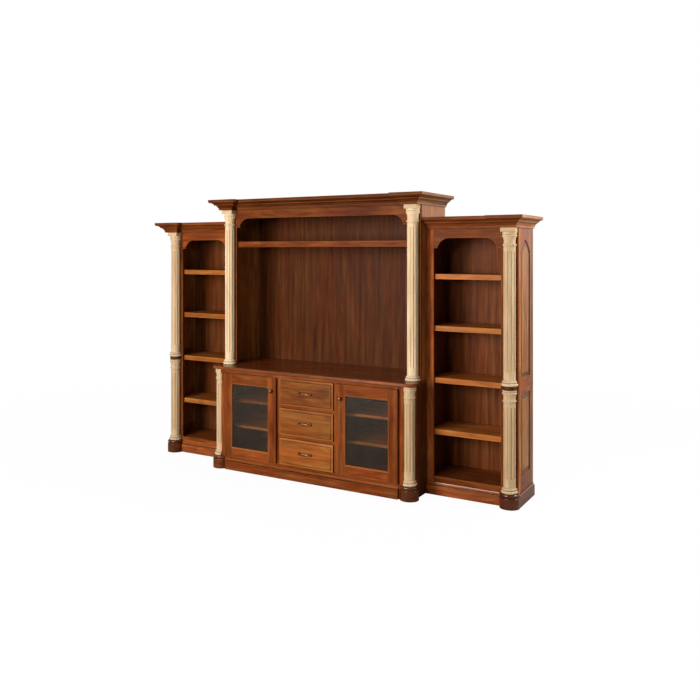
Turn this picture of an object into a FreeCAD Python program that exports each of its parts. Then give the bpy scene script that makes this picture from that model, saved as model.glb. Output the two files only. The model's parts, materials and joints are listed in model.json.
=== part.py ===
import FreeCAD, Part
import math
import os
from types import SimpleNamespace

import Sketcher

# Driving dimensions in millimetres. Depths run forward from the flat back, heights up from the floor.
SIZES = {
    # Overall sizes of the three cabinets
    "hutch_half": 862, "hutch_depth": 456, "hutch_high": 2146,
    "pier_width": 665, "pier_depth": 356, "pier_drop": 171,
    "console_depth": 598, "console_high": 816,
    # Boards
    "board": 19, "frame_thick": 20, "back_thick": 6, "deck_top": 128,
    "shelf_thick": 20, "shelf_edge": 37, "edge_thick": 20, "shelf_back": 12, "shelf_play": 1,
    "shelf_low": 461, "shelf_ring": 829, "shelf_mid": 1200, "shelf_up": 1570,
    "hutch_shelf": 1809, "hutch_edge": 43,
    "console_shelf_low": 342, "console_shelf_up": 545, "console_shelf_front": 520,
    # Face frames and valances
    "stile_inner": 54, "stile_outer": 119, "hutch_stile": 108, "crown_cover": 15,
    "valance_flat": 67, "valance_foot": 138, "valance_bracket": 112, "valance_toe": 30, "valance_step": 11,
    # Framed outer sides of the piers
    "side_stile": 79, "side_front": 42, "side_low_rail": 200, "mid_rail": 108,
    "arch_spring": 158, "arch_apex": 79,
    "panel_slab": 9, "panel_rise": 6, "panel_lip": 7, "panel_bevel": 34, "panel_back": 3,
    # Crown moulding
    "crown_high": 82, "crown_reach": 72, "crown_pad": 16, "break_half": 58,
    # Columns, rings and base blocks
    "column_radius": 41, "axis_inset": 54, "axis_ahead": 16,
    "corner_inset": 40, "corner_back": 33, "corner_seat": 25,
    "foot_out": 7, "foot_high": 20, "foot_top": 42,
    "collar_out": 4.5, "collar_half": 6, "collar_low": 74, "collar_up": 88, "cap_out": 7.5,
    "flute_radius": 8, "flute_out": 4.6, "flute_step": 36, "flute_low": 94, "flute_gap": 37,
    "abacus_half": 50, "abacus_thick": 30,
    "ring_thick": 27, "ring_radius": 49, "neck_high": 8, "neck_radius": 43,
    "block_radius": 68, "block_high": 101, "block_step": 4, "block_cap": 25, "block_play": 0.3,
    # Plinths
    "plinth_high": 66, "plinth_thick": 16, "plinth_side": 12, "cap_high": 22,
    # Console top
    "top_thick": 20, "top_ease": 5, "cove_high": 10, "cove_out": 14,
    # Doors and drawer fronts, which lie over the face frame
    "front_gap": 3, "front_thick": 20, "front_low": 112, "front_high": 765, "front_space": 31, "front_lap": 13,
    "stile_show": 41, "drawer_half": 234, "drawer_gap": 26, "drawer_rail": 42,
    "door_stile": 75.5, "door_low_rail": 74, "door_top_rail": 83, "door_bevel": 7, "door_bevel_deep": 8,
    "rebate": 8, "rebate_deep": 9, "glass_thick": 4, "glass_play": 0.5,
    "field_edge": 11, "field_slope": 7, "field_lip": 5, "field_border": 36,
    # Hinges
    "pivot_in": 7, "pivot_back": 11, "pivot_radius": 3, "pivot_play": 0.05, "pivot_long": 15, "pivot_well": 4,
    "plate_long": 42, "plate_wide": 14, "plate_thick": 2.5,
    "tongue_gap": 2.5, "tongue_thick": 2.5, "leaf_high": 17,
    # Drawer boxes and their slides
    "box_side": 12, "box_bottom": 6, "box_long": 481, "box_room": 10, "box_lift": 8,
    "slide_side": 2.5, "slide_play": 0.5,
    "runner_thick": 11, "runner_high": 34, "channel_play": 0.3, "channel_wall": 2, "channel_reach": 12.5,
    # Cleats under the shelf ends
    "cleat_wide": 18, "cleat_high": 16,
    # Brass knobs and bail pulls
    "knob_reach": 30, "knob_radius": 15, "knob_neck": 6, "knob_thick": 16, "knob_drop": 101,
    "post_spread": 48, "post_half": 6, "post_reach": 17,
    "rosette_half": 10, "rosette_thick": 3, "bail_radius": 3.5, "bail_ahead": 11, "bail_play": 0.05,
    "bail_half": 60, "bail_drop": 22, "bail_bend": 14, "bail_stub": 41, "bail_rise": 12,
    # Cable holes in the console back
    "cable_radius": 32, "cable_height": 640,
}

doc = FreeCAD.newDocument("entertainment_center")
sheet = doc.addObject("Spreadsheet::Sheet", "Sizes")
for row, (alias, size) in enumerate(SIZES.items(), start=1):
    sheet.set(f"B{row}", str(size))
    sheet.setAlias(f"B{row}", alias)
doc.recompute()


class Dim:
    """A size: its value now and the sheet expression that gives it."""

    def __init__(self, value, text):
        self.value = value
        self.text = text

    def join(self, other, sign, value, swap=False):
        right = other.text if isinstance(other, Dim) else str(other)
        first, second = (right, self.text) if swap else (self.text, right)
        return Dim(value, f"({first} {sign} {second})")

    def __add__(self, other):
        return self.join(other, "+", self.value + number(other))

    def __radd__(self, other):
        return self.join(other, "+", number(other) + self.value, True)

    def __sub__(self, other):
        return self.join(other, "-", self.value - number(other))

    def __rsub__(self, other):
        return self.join(other, "-", number(other) - self.value, True)

    def __mul__(self, other):
        return self.join(other, "*", self.value * number(other))

    def __rmul__(self, other):
        return self.join(other, "*", number(other) * self.value, True)

    def __truediv__(self, other):
        return self.join(other, "/", self.value / number(other))

    def __neg__(self):
        return 0 - self


def number(size):
    return size.value if isinstance(size, Dim) else size


S = SimpleNamespace(**{alias: Dim(size, f"Sizes.{alias}") for alias, size in SIZES.items()})
NODES = []

# Places that several pieces share
FRONT_BACK = S.console_depth + S.front_gap
FRONT_FACE = FRONT_BACK + S.front_thick
BACK = (FRONT_FACE + S.knob_reach) / 2
PIER_OUT = S.hutch_half + S.pier_width
PIER_HIGH = S.hutch_high - S.pier_drop
PIER_CROWN = PIER_HIGH - S.crown_high
HUTCH_CROWN = S.hutch_high - S.crown_high
PIER_AXIS = PIER_OUT - S.axis_inset
HUTCH_AXIS = S.hutch_half - S.axis_inset
CONSOLE_AXIS = S.hutch_half - S.corner_inset
CONSOLE_AXIS_DEEP = S.console_depth - S.corner_back
POST_X = CONSOLE_AXIS - S.corner_seat
POST_DEEP = CONSOLE_AXIS_DEEP - S.corner_seat
TOP_LOW = S.console_high - S.top_thick
RING_HIGH = TOP_LOW + S.ring_thick
DOOR_INNER = S.drawer_half + S.front_space
DOOR_OUTER = POST_X - S.stile_show
OPENING_DRAWER = S.drawer_half - S.front_lap
OPENING_INNER = DOOR_INNER + S.front_lap
OPENING_OUTER = DOOR_OUTER - S.front_lap
PIVOT_X = DOOR_OUTER - S.pivot_in
PIVOT_DEEP = FRONT_BACK + S.pivot_back
RAIL_TOP = S.front_high - S.front_lap
SIDES = (("left", -1), ("right", 1))
FLUTES = 5


def bind(piece, name, size):
    """Tie one property of a piece to the sheet, or set it where it is a plain number."""
    if isinstance(size, Dim):
        piece.setExpression(name, size.text)
    else:
        piece.setExpression(name, str(size))


def put(piece, x, y, z, axis=(0, 0, 1), turn=0):
    piece.Placement = FreeCAD.Placement(
        FreeCAD.Vector(number(x), number(y), number(z)), FreeCAD.Rotation(FreeCAD.Vector(*axis), turn)
    )
    for name, size in (("x", x), ("y", y), ("z", z)):
        bind(piece, f"Placement.Base.{name}", size)
    return piece


def box(x0, x1, d0, d1, z0, z1, side=1):
    """A board between two values of x, of depth from the back and of height; side -1 mirrors x."""
    piece = doc.addObject("Part::Box", "Board")
    bind(piece, "Length", x1 - x0)
    bind(piece, "Width", d1 - d0)
    bind(piece, "Height", z1 - z0)
    return put(piece, x0 if side > 0 else -x1, BACK - d1, z0)


def rod(radius, long, x, y, z, axis=(0, 0, 1), turn=0):
    """A cylinder whose axis is turned from vertical."""
    piece = doc.addObject("Part::Cylinder", "Rod")
    bind(piece, "Radius", radius)
    bind(piece, "Height", long)
    return put(piece, x, y, z, axis, turn)


def cross_rod(radius, long, x, d, z):
    """A cylinder along X that starts at x."""
    return rod(radius, long, x, BACK - d, z, (0, 1, 0), 90)


def taper(x0, x1, z0, z1, d0, d1, inset):
    """A frustum whose rectangle at depth d0 shrinks by inset all round by depth d1, ahead of or behind d0."""
    piece = doc.addObject("Part::Wedge", "Taper")
    wide = {"Xmin": x0, "Xmax": x1, "Zmin": z0, "Zmax": z1}
    narrow = {"Xmin": x0 + inset, "Xmax": x1 - inset, "Zmin": z0 + inset, "Zmax": z1 - inset}
    ahead = number(d1) > number(d0)
    fore, rear = (narrow, wide) if ahead else (wide, narrow)
    for name, size in fore.items():
        bind(piece, name, size)
    for name, size in rear.items():
        bind(piece, name[0] + "2" + name[1:], size)
    bind(piece, "Ymin", BACK - (d1 if ahead else d0))
    bind(piece, "Ymax", BACK - (d0 if ahead else d1))
    return piece


def cut(base, *tools):
    for tool in tools:
        piece = doc.addObject("Part::Cut", "Cut")
        piece.Base = base
        piece.Tool = tool
        base = piece
    return base


def common(base, tool):
    piece = doc.addObject("Part::Common", "Common")
    piece.Base = base
    piece.Tool = tool
    return piece


def fuse(*pieces):
    piece = doc.addObject("Part::MultiFuse", "Fuse")
    piece.Shapes = list(pieces)
    piece.Refine = True
    return piece


def group(*pieces):
    piece = doc.addObject("Part::Compound", "Group")
    piece.Links = list(pieces)
    return piece


def node(label, *pieces):
    """One named sub-part, from one solid or from a group of separate solids."""
    piece = pieces[0] if len(pieces) == 1 else group(*pieces)
    piece.Label = label
    NODES.append(piece)


def origin(body, role):
    return next(part for part in body.Origin.OriginFeatures if part.Role == role)


def new_sketch(body, role, offset=0):
    sketch = body.newObject("Sketcher::SketchObject", "Profile")
    sketch.AttachmentSupport = [(origin(body, role), "")]
    sketch.MapMode = "FlatFace"
    if number(offset):
        bind(sketch, "AttachmentOffset.Base.z", offset)
    return sketch


def outline(sketch, corners, flip=1):
    """A closed outline. A corner (a, b, bulge) is reached by an arc: bulge is the tangent of a quarter of its
    angle, above zero where the arc swells to the right. flip -1 mirrors the first coordinate."""
    count = len(corners)
    places = [FreeCAD.Vector(flip * number(c[0]), number(c[1]), 0) for c in corners]
    edges = []
    for start, end, corner in zip([places[-1]] + places, places, corners):
        swell = corner[2] * flip if len(corner) > 2 else 0
        if swell:
            along = end - start
            middle = (start + end) / 2 + FreeCAD.Vector(along.y, -along.x, 0) * (swell / 2)
            edges.append(Part.Arc(start, middle, end))
        else:
            edges.append(Part.LineSegment(start, end))
    sketch.addGeometry(edges, False)

    # An arc runs anticlockwise in the sketch, so one that swells left has its ends the other way round
    def end_of(index):
        corner = corners[index]
        return 1 if len(corner) > 2 and corner[2] * flip < 0 else 2

    rules = []
    for index in range(count):
        follow = (index + 1) % count
        rules.append(Sketcher.Constraint("Coincident", index, end_of(index), follow, 3 - end_of(follow)))
    sketch.addConstraint(rules)
    for index, corner in enumerate(corners):
        place = (index, end_of(index))
        for kind, axis, size, sign in (("DistanceX", -2, corner[0], flip), ("DistanceY", -1, corner[1], 1)):
            value = sign * number(size)
            if abs(value) < 1e-9:
                sketch.addConstraint(Sketcher.Constraint("PointOnObject", *place, axis))
                continue
            ends = (-1, 1, *place) if value > 0 else (*place, -1, 1)
            rule = sketch.addConstraint(Sketcher.Constraint(kind, *ends, abs(value)))
            if isinstance(size, Dim):
                positive = size if number(size) > 0 else -size
                sketch.setExpression(f"Constraints[{rule}]", positive.text)


def turned(corners):
    """A body turned about its upright axis from (radius, height) corners."""
    body = doc.addObject("PartDesign::Body", "Turning")
    sketch = new_sketch(body, "XZ_Plane")
    outline(sketch, corners)
    turn = body.newObject("PartDesign::Revolution", "Turn")
    turn.Profile = sketch
    turn.ReferenceAxis = (sketch, ["V_Axis"])
    turn.Angle = 360
    return body


def moulding(corners, run):
    """A length of moulding along X; corners are (reach forward, height)."""
    body = doc.addObject("PartDesign::Body", "Moulding")
    sketch = new_sketch(body, "YZ_Plane")
    outline(sketch, corners, flip=-1)
    pad = body.newObject("PartDesign::Pad", "Length")
    pad.Profile = sketch
    bind(pad, "Length", run)
    return body


def slab(corners, thick, role="XZ_Plane"):
    """A flat board of the given outline, centred on its plane."""
    body = doc.addObject("PartDesign::Body", "Slab")
    sketch = new_sketch(body, role)
    outline(sketch, corners)
    pad = body.newObject("PartDesign::Pad", "Thickness")
    pad.Profile = sketch
    pad.SideType = "Symmetric"
    bind(pad, "Length", thick)
    return body


def crown_profile():
    """Bead, two coves with a step between, and top fillet, as (reach, height) scaled to the crown's sizes."""
    wide, high = S.crown_reach / 72, S.crown_high / 82
    points = [
        (0, 0), (10, 0), (10, 14), (14, 14), (34, 38, -0.3), (38, 38), (38, 42), (62, 57, -0.22), (66, 57),
        (72, 64), (72, 82), (0, 82),
    ]
    return [(point[0] * wide, point[1] * high, *point[2:]) for point in points]


def crown_length(run, start, end, x, d, z, turn):
    """One mitred length of crown. Its wall line starts at (x, d) and runs along +X turned by turn; each end is
    square, or mitred for an outer or an inner corner."""
    lead = S.crown_reach if start == "outer" else 0
    tail = S.crown_reach if end == "outer" else 0
    piece = moulding(crown_profile(), lead + run + tail)
    corners = {("start", "outer"): 135, ("start", "inner"): 225, ("end", "outer"): -45, ("end", "inner"): 225}
    for which, kind, place in (("start", start, lead), ("end", end, lead + run)):
        if kind == "square":
            continue
        waste = doc.addObject("Part::Box", "Waste")
        bind(waste, "Length", S.crown_reach * 2)
        bind(waste, "Width", S.crown_reach * 2)
        bind(waste, "Height", S.crown_high * 2)
        put(waste, place, 0, -S.crown_high / 2, (0, 0, 1), corners[which, kind])
        piece = cut(piece, waste)
    step = {0: (-1, 0), 90: (0, -1), -90: (0, 1)}[turn]
    return put(piece, x + step[0] * lead, BACK - d + step[1] * lead, z, (0, 0, 1), turn)


def crown_corner(side, outer, axis, face, low, depth_main):
    """The crown round one column: side return, front of the break, inner return, and the block behind it."""
    front = face + S.axis_ahead + S.break_half
    inner = axis - S.break_half
    back_run = front
    step = front - depth_main
    width = outer - inner
    if side > 0:
        lengths = [
            crown_length(back_run, "outer", "square", outer, front, low, 90),
            crown_length(width, "outer", "outer", inner, front, low, 0),
            crown_length(step, "inner", "outer", inner, depth_main, low, -90),
        ]
    else:
        lengths = [
            crown_length(back_run, "square", "outer", -outer, 0, low, -90),
            crown_length(width, "outer", "outer", -outer, front, low, 0),
            crown_length(step, "outer", "inner", -inner, front, low, 90),
        ]
    block = box(inner, outer, face, front, low, low + S.crown_high - S.crown_cover, side)
    return lengths + [block]


def column(top, collar, flat, corner=None):
    """A fluted column standing on z 0: foot, shaft, a collar at the given drop, bell and cap. Its back is cut flat
    behind the axis, and its inner side too on a corner."""
    r = S.column_radius
    middle = top - collar
    cap = top - collar * 3 / 8
    body = turned([
        (0, 0), (r + S.foot_out, 0), (r + S.foot_out, S.foot_high), (r, S.foot_top), (r, middle - S.collar_half),
        (r + S.collar_out, middle), (r, middle + S.collar_half), (r + S.cap_out, cap), (r + S.cap_out, top),
        (0, top),
    ])
    sketch = new_sketch(body, "YZ_Plane")
    axis = r + S.flute_out
    low, end = S.flute_low, middle - S.flute_gap
    flute = [(axis, low), (axis + S.flute_radius, low), (axis + S.flute_radius, end), (axis, end)]
    outline(sketch, flute, flip=-1)
    sketch.addGeometry(Part.LineSegment(
        FreeCAD.Vector(-number(axis), 0, 0), FreeCAD.Vector(-number(axis), number(top), 0)), True)
    groove = body.newObject("PartDesign::Groove", "Flute")
    groove.Profile = sketch
    groove.ReferenceAxis = (sketch, ["Axis0"])
    groove.Angle = 360
    doc.recompute()
    flutes = body.newObject("PartDesign::PolarPattern", "Flutes")
    flutes.Originals = [groove]
    flutes.Axis = (origin(body, "Z_Axis"), [""])
    bind(flutes, "Angle", S.flute_step * (FLUTES - 1))
    flutes.Occurrences = FLUTES
    body.Tip = flutes
    # Turned so that the middle flute faces forward
    put(body, 0, 0, 0, (0, 0, 1), -number(S.flute_step) * (FLUTES - 1) / 2)
    return seat(body, top, r + S.cap_out, flat, corner)


def abacus(axis, face, top, side):
    """The square cap between a column that stands against a face and the crown over it."""
    half = S.abacus_half
    return box(axis - half, axis + half, face, face + S.axis_ahead + half, top - S.abacus_thick, top, side)


def seat(piece, high, reach, flat, corner=None):
    """Cut a turned piece flat where it stands against the cabinet. corner is the side of its cabinet corner."""
    behind = doc.addObject("Part::Box", "Behind")
    bind(behind, "Length", reach * 4)
    bind(behind, "Width", reach * 2)
    bind(behind, "Height", high * 2)
    put(behind, -reach * 2, flat, -high / 2)
    piece = cut(piece, behind)
    if corner:
        beside = doc.addObject("Part::Box", "Beside")
        bind(beside, "Length", reach * 2)
        bind(beside, "Width", reach * 4)
        bind(beside, "Height", high * 2)
        put(beside, -flat - reach * 2 if corner > 0 else flat, -reach * 2, -high / 2)
        piece = cut(piece, beside)
    return piece


def cleat(x_face, away, d1, shelf_top, side):
    """A strip fixed to an upright under one end of a shelf. away is the way out from the upright's face."""
    x0, x1 = (x_face, x_face + S.cleat_wide) if away > 0 else (x_face - S.cleat_wide, x_face)
    under = shelf_top - S.shelf_thick
    return box(x0, x1, S.shelf_back, d1, under - S.cleat_high, under, side)


def shelf(x0, x1, d0, d1, top, edge, side=1):
    """A shelf board with a deeper front edge."""
    return [
        box(x0, x1, d0, d1 - S.edge_thick, top - S.shelf_thick, top, side),
        box(x0, x1, d1 - S.edge_thick, d1, top - edge, top, side),
    ]


def valance(width, high, x, d, z):
    """The arched top rail of a face frame: flat in the middle, with a bracket at each end. z is its foot."""
    rise = S.valance_foot - S.valance_flat
    reach, toe, step = S.valance_bracket, S.valance_toe, S.valance_step
    body = slab([
        (0, 0), (toe, 0), (toe, step), (reach, rise, -0.3), (width - reach, rise),
        (width - toe, step, -0.3), (width - toe, 0), (width, 0), (width, high), (0, high),
    ], S.frame_thick)
    return put(body, x, BACK - d + S.frame_thick / 2, z)


def arch_outline(half, low, spring, apex):
    """A pointed arch on a rectangle, or a plain rectangle where apex equals spring."""
    if number(apex) == number(spring):
        return [(-half, low), (half, low), (half, spring), (-half, spring)]
    return [(-half, low), (half, low), (half, spring), (0, apex, 0.12), (-half, spring, 0.12)]


def raised_panel(half, high, spring, side, x, y, z):
    """A panel with a bevelled raised field, facing out to one side. spring is None for a square top."""
    arched = spring is not None
    shoulder = spring if arched else high
    body = doc.addObject("PartDesign::Body", "Panel")
    slab_sketch = new_sketch(body, "YZ_Plane")
    outline(slab_sketch, arch_outline(half, 0, shoulder, high))
    pad = body.newObject("PartDesign::Pad", "Slab")
    pad.Profile = slab_sketch
    bind(pad, "Length", S.panel_slab)
    rings = []
    for inset, offset in ((S.panel_lip, S.panel_slab), (S.panel_bevel, S.panel_slab + S.panel_rise)):
        ring = new_sketch(body, "YZ_Plane", offset)
        drop = inset * 0.7 if arched else inset
        peak = inset * 1.3 if arched else inset
        outline(ring, arch_outline(half - inset, inset, shoulder - drop, high - peak))
        rings.append(ring)
    loft = body.newObject("PartDesign::AdditiveLoft", "Field")
    loft.Profile = rings[0]
    loft.Sections = [rings[1]]
    loft.Ruled = True
    return put(body, x, y, z, (0, 0, 1), 0 if side > 0 else 180)


def build_piers():
    """The two bookcase piers, with their framed sides, shelves, crown and base."""
    inner_sides, frames, panels, decks, backs, plinths, cleats = [], [], [], [], [], [], []
    top = PIER_HIGH - S.crown_cover
    face_back = S.pier_depth - S.frame_thick
    inner, outer = S.hutch_half + S.board, PIER_OUT - S.board
    tops = (S.shelf_low, S.shelf_ring, S.shelf_mid, S.shelf_up)
    edge_back = face_back - S.shelf_play - S.edge_thick
    for name, side in SIDES:
        for z in tops:
            cleats += [cleat(inner, 1, edge_back, z, side), cleat(outer, -1, edge_back, z, side)]
        inner_sides.append(box(S.hutch_half, inner, 0, face_back, 0, top, side))

        # Frame of the outer side: two stiles, a plain low and middle rail, and an arched top rail
        ring_middle = TOP_LOW + S.ring_thick / 2
        front_edge = face_back - S.side_front
        half = (front_edge - S.side_stile) / 2
        middle_y = BACK - S.side_stile - half
        spring, apex = PIER_CROWN - S.arch_spring, PIER_CROWN - S.arch_apex
        mid_low, mid_high = ring_middle - S.mid_rail / 2, ring_middle + S.mid_rail / 2
        arch = slab(arch_outline(half, spring - S.mid_rail, spring, apex), S.board * 4, "YZ_Plane")
        put(arch, (PIER_OUT - S.board / 2) * side, middle_y, 0)
        frames += [
            box(outer, PIER_OUT, 0, S.side_stile, 0, top, side),
            box(outer, PIER_OUT, front_edge, face_back, 0, top, side),
            box(outer, PIER_OUT, S.side_stile, front_edge, 0, S.side_low_rail, side),
            box(outer, PIER_OUT, S.side_stile, front_edge, mid_low, mid_high, side),
            cut(box(outer, PIER_OUT, S.side_stile, front_edge, spring, top, side), arch),
        ]
        panel_x = (outer + S.panel_back) * side
        panels += [
            raised_panel(half, mid_low - S.side_low_rail, None, side, panel_x, middle_y, S.side_low_rail),
            raised_panel(half, apex - mid_high, spring - mid_high, side, panel_x, middle_y, mid_high),
        ]
        decks += [
            box(inner, outer, S.back_thick, face_back, S.deck_top - S.board, S.deck_top, side),
            box(inner, outer, S.back_thick, face_back, PIER_CROWN, PIER_CROWN + S.board, side),
        ]
        backs.append(box(inner, outer, 0, S.back_thick, 0, top, side))
        shelves = []
        for z in tops:
            shelves += shelf(
                inner + S.shelf_play, outer - S.shelf_play, S.shelf_back, face_back - S.shelf_play, z,
                S.shelf_edge, side,
            )
        node(f"{name}_pier_shelves", *shelves)

        # Face frame: narrow inner stile, wide outer stile that carries the column, low rail and valance
        open_in, open_out = S.hutch_half + S.stile_inner, PIER_OUT - S.stile_outer
        foot = PIER_CROWN - S.valance_foot
        width = open_out - open_in
        node(
            f"{name}_pier_face_frame",
            box(S.hutch_half, open_in, face_back, S.pier_depth, 0, top, side),
            box(open_out, PIER_OUT, face_back, S.pier_depth, 0, top, side),
            box(open_in, open_out, face_back, S.pier_depth, 0, S.deck_top, side),
            valance(width, top - foot, open_in if side > 0 else -open_out, S.pier_depth, foot),
        )

        # Crown: the run over the shelves, then the break round the column
        wall = S.pier_depth + S.crown_pad
        inner_break = PIER_AXIS - S.break_half
        run = inner_break - S.hutch_half
        if side > 0:
            main = crown_length(run, "square", "inner", S.hutch_half, wall, PIER_CROWN, 0)
        else:
            main = crown_length(run, "inner", "square", -inner_break, wall, PIER_CROWN, 0)
        pad = box(S.hutch_half, inner_break, S.pier_depth, wall, PIER_CROWN, top, side)
        corner = crown_corner(side, PIER_OUT, PIER_AXIS, S.pier_depth, PIER_CROWN, wall)
        node(f"{name}_pier_crown", main, pad, *corner)

        lower = column(TOP_LOW - S.block_high, S.collar_low, S.axis_ahead)
        upper = column(PIER_CROWN - S.abacus_thick - RING_HIGH, S.collar_up, S.axis_ahead)
        axis_y = BACK - S.pier_depth - S.axis_ahead
        put(lower, PIER_AXIS * side, axis_y, S.block_high)
        put(upper, PIER_AXIS * side, axis_y, RING_HIGH)
        node(f"{name}_pier_columns", lower, upper, abacus(PIER_AXIS, S.pier_depth, PIER_CROWN, side))

        # Plinth and its cap along the front and the outer side, both ending at the round base block
        cap = cap_profile(S.plinth_thick)
        front_run = PIER_AXIS - S.block_radius - S.hutch_half
        front_cap = moulding(cap, front_run)
        put(front_cap, S.hutch_half if side > 0 else -S.hutch_half - front_run, BACK - S.pier_depth, S.plinth_high)
        side_cap = moulding(cap_profile(S.plinth_side), S.pier_depth)
        put(side_cap, PIER_OUT * side, BACK - S.pier_depth if side > 0 else BACK, S.plinth_high, (0, 0, 1), 90 * side)
        side_board = box(PIER_OUT, PIER_OUT + S.plinth_side, 0, S.pier_depth, 0, S.plinth_high, side)
        plinths += [
            box(S.hutch_half, S.hutch_half + front_run, S.pier_depth, S.pier_depth + S.plinth_thick, 0,
                S.plinth_high, side),
            front_cap,
            cut(side_board, rod(S.block_radius + S.block_play, S.block_high, PIER_AXIS * side, axis_y, 0)),
            cut(side_cap, rod(S.block_radius + S.block_play, S.block_high, PIER_AXIS * side, axis_y, 0)),
        ]
    node("pier_inner_sides", *inner_sides)
    node("pier_side_frames", *frames)
    node("pier_side_panels", *panels)
    node("pier_decks", *decks)
    node("pier_backs", *backs)
    node("pier_plinths", *plinths)
    return cleats


def cap_profile(thick):
    """Cap moulding on a plinth of the given thickness: a fillet, then a cove back to the face frame."""
    return [
        (0, 0), (thick, 0), (thick, 9), (thick - 4, 9), (3, S.cap_high, -0.3), (0, S.cap_high),
    ]


def build_turnings():
    """Rings between the pier columns, necks over the console columns, and the round base blocks."""
    rings, blocks = [], []
    r = S.block_radius
    neck = r - S.block_step
    shoulder = S.block_high - S.block_cap
    foot = [(0, 0), (r, 0), (r, shoulder), (neck, shoulder), (neck, S.block_high), (0, S.block_high)]
    console_y = BACK - CONSOLE_AXIS_DEEP
    pier_y = BACK - S.pier_depth - S.axis_ahead
    for name, side in SIDES:
        ring = seat(rod(S.ring_radius, S.ring_thick, 0, 0, 0), S.ring_thick, S.ring_radius, S.axis_ahead)
        rings.append(put(ring, PIER_AXIS * side, pier_y, TOP_LOW))
        collar = seat(rod(S.neck_radius, S.neck_high, 0, 0, 0), S.neck_high, S.ring_radius, S.corner_seat, side)
        rings.append(put(collar, CONSOLE_AXIS * side, console_y, TOP_LOW - S.neck_high))
        pier_block = put(turned(foot), PIER_AXIS * side, pier_y, 0)
        blocks.append(cut(pier_block, box(0, PIER_OUT, 0, S.pier_depth, 0, S.block_high, side)))
        console_block = put(turned(foot), CONSOLE_AXIS * side, console_y, 0)
        blocks.append(cut(
            console_block,
            box(0, POST_X, 0, S.console_depth, 0, S.block_high, side),
            box(0, S.hutch_half, 0, POST_DEEP, 0, S.block_high, side),
        ))
    node("column_rings", *rings)
    node("base_blocks", *blocks)


def build_hutch():
    """The hutch that stands on the console: sides, one shelf, arched face frame, columns and crown."""
    low, top = S.console_high, S.hutch_high - S.crown_cover
    half, face_back = S.hutch_half, S.hutch_depth - S.frame_thick
    inside = half - S.board
    wall = S.hutch_depth + S.crown_pad
    open_half = half - S.hutch_stile
    foot = HUTCH_CROWN - S.valance_foot
    node("hutch_sides", *[box(inside, half, 0, face_back, low, top, side) for name, side in SIDES])
    node("hutch_back", box(-inside, inside, 0, S.back_thick, low, top))
    node("hutch_top", box(-inside, inside, S.back_thick, face_back, HUTCH_CROWN, HUTCH_CROWN + S.board))
    node("hutch_shelf", *shelf(-inside, inside, S.back_thick, face_back, S.hutch_shelf, S.hutch_edge))
    node(
        "hutch_face_frame",
        *[box(open_half, half, face_back, S.hutch_depth, low, top, side) for name, side in SIDES],
        valance(open_half * 2, top - foot, -open_half, S.hutch_depth, foot),
    )
    columns = []
    for name, side in SIDES:
        piece = column(HUTCH_CROWN - S.abacus_thick - low, S.collar_up, S.axis_ahead)
        columns.append(put(piece, HUTCH_AXIS * side, BACK - S.hutch_depth - S.axis_ahead, low))
        columns.append(abacus(HUTCH_AXIS, S.hutch_depth, HUTCH_CROWN, side))
    node("hutch_columns", *columns)
    inner_break = HUTCH_AXIS - S.break_half
    main = crown_length(inner_break * 2, "inner", "inner", -inner_break, wall, HUTCH_CROWN, 0)
    pad = box(-inner_break, inner_break, S.hutch_depth, wall, HUTCH_CROWN, top)
    corners = [
        piece for name, side in SIDES
        for piece in crown_corner(side, half, HUTCH_AXIS, S.hutch_depth, HUTCH_CROWN, wall)
    ]
    node("hutch_crown", main, pad, *corners)


def drawer_places():
    """Low and high edge of each drawer front and of its opening, from the bottom drawer up."""
    high = (S.front_high - S.front_low - S.drawer_gap * 2) / 3
    half_rail = S.drawer_rail / 2
    fronts = []
    for step in range(3):
        low = S.front_low + (high + S.drawer_gap) * step
        fronts.append((low, low + high))
    rails = [fronts[step][1] + S.drawer_gap / 2 for step in range(2)]
    lows = [S.deck_top] + [rail + half_rail for rail in rails]
    highs = [rail - half_rail for rail in rails] + [RAIL_TOP]
    return fronts, rails, list(zip(lows, highs))


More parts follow.
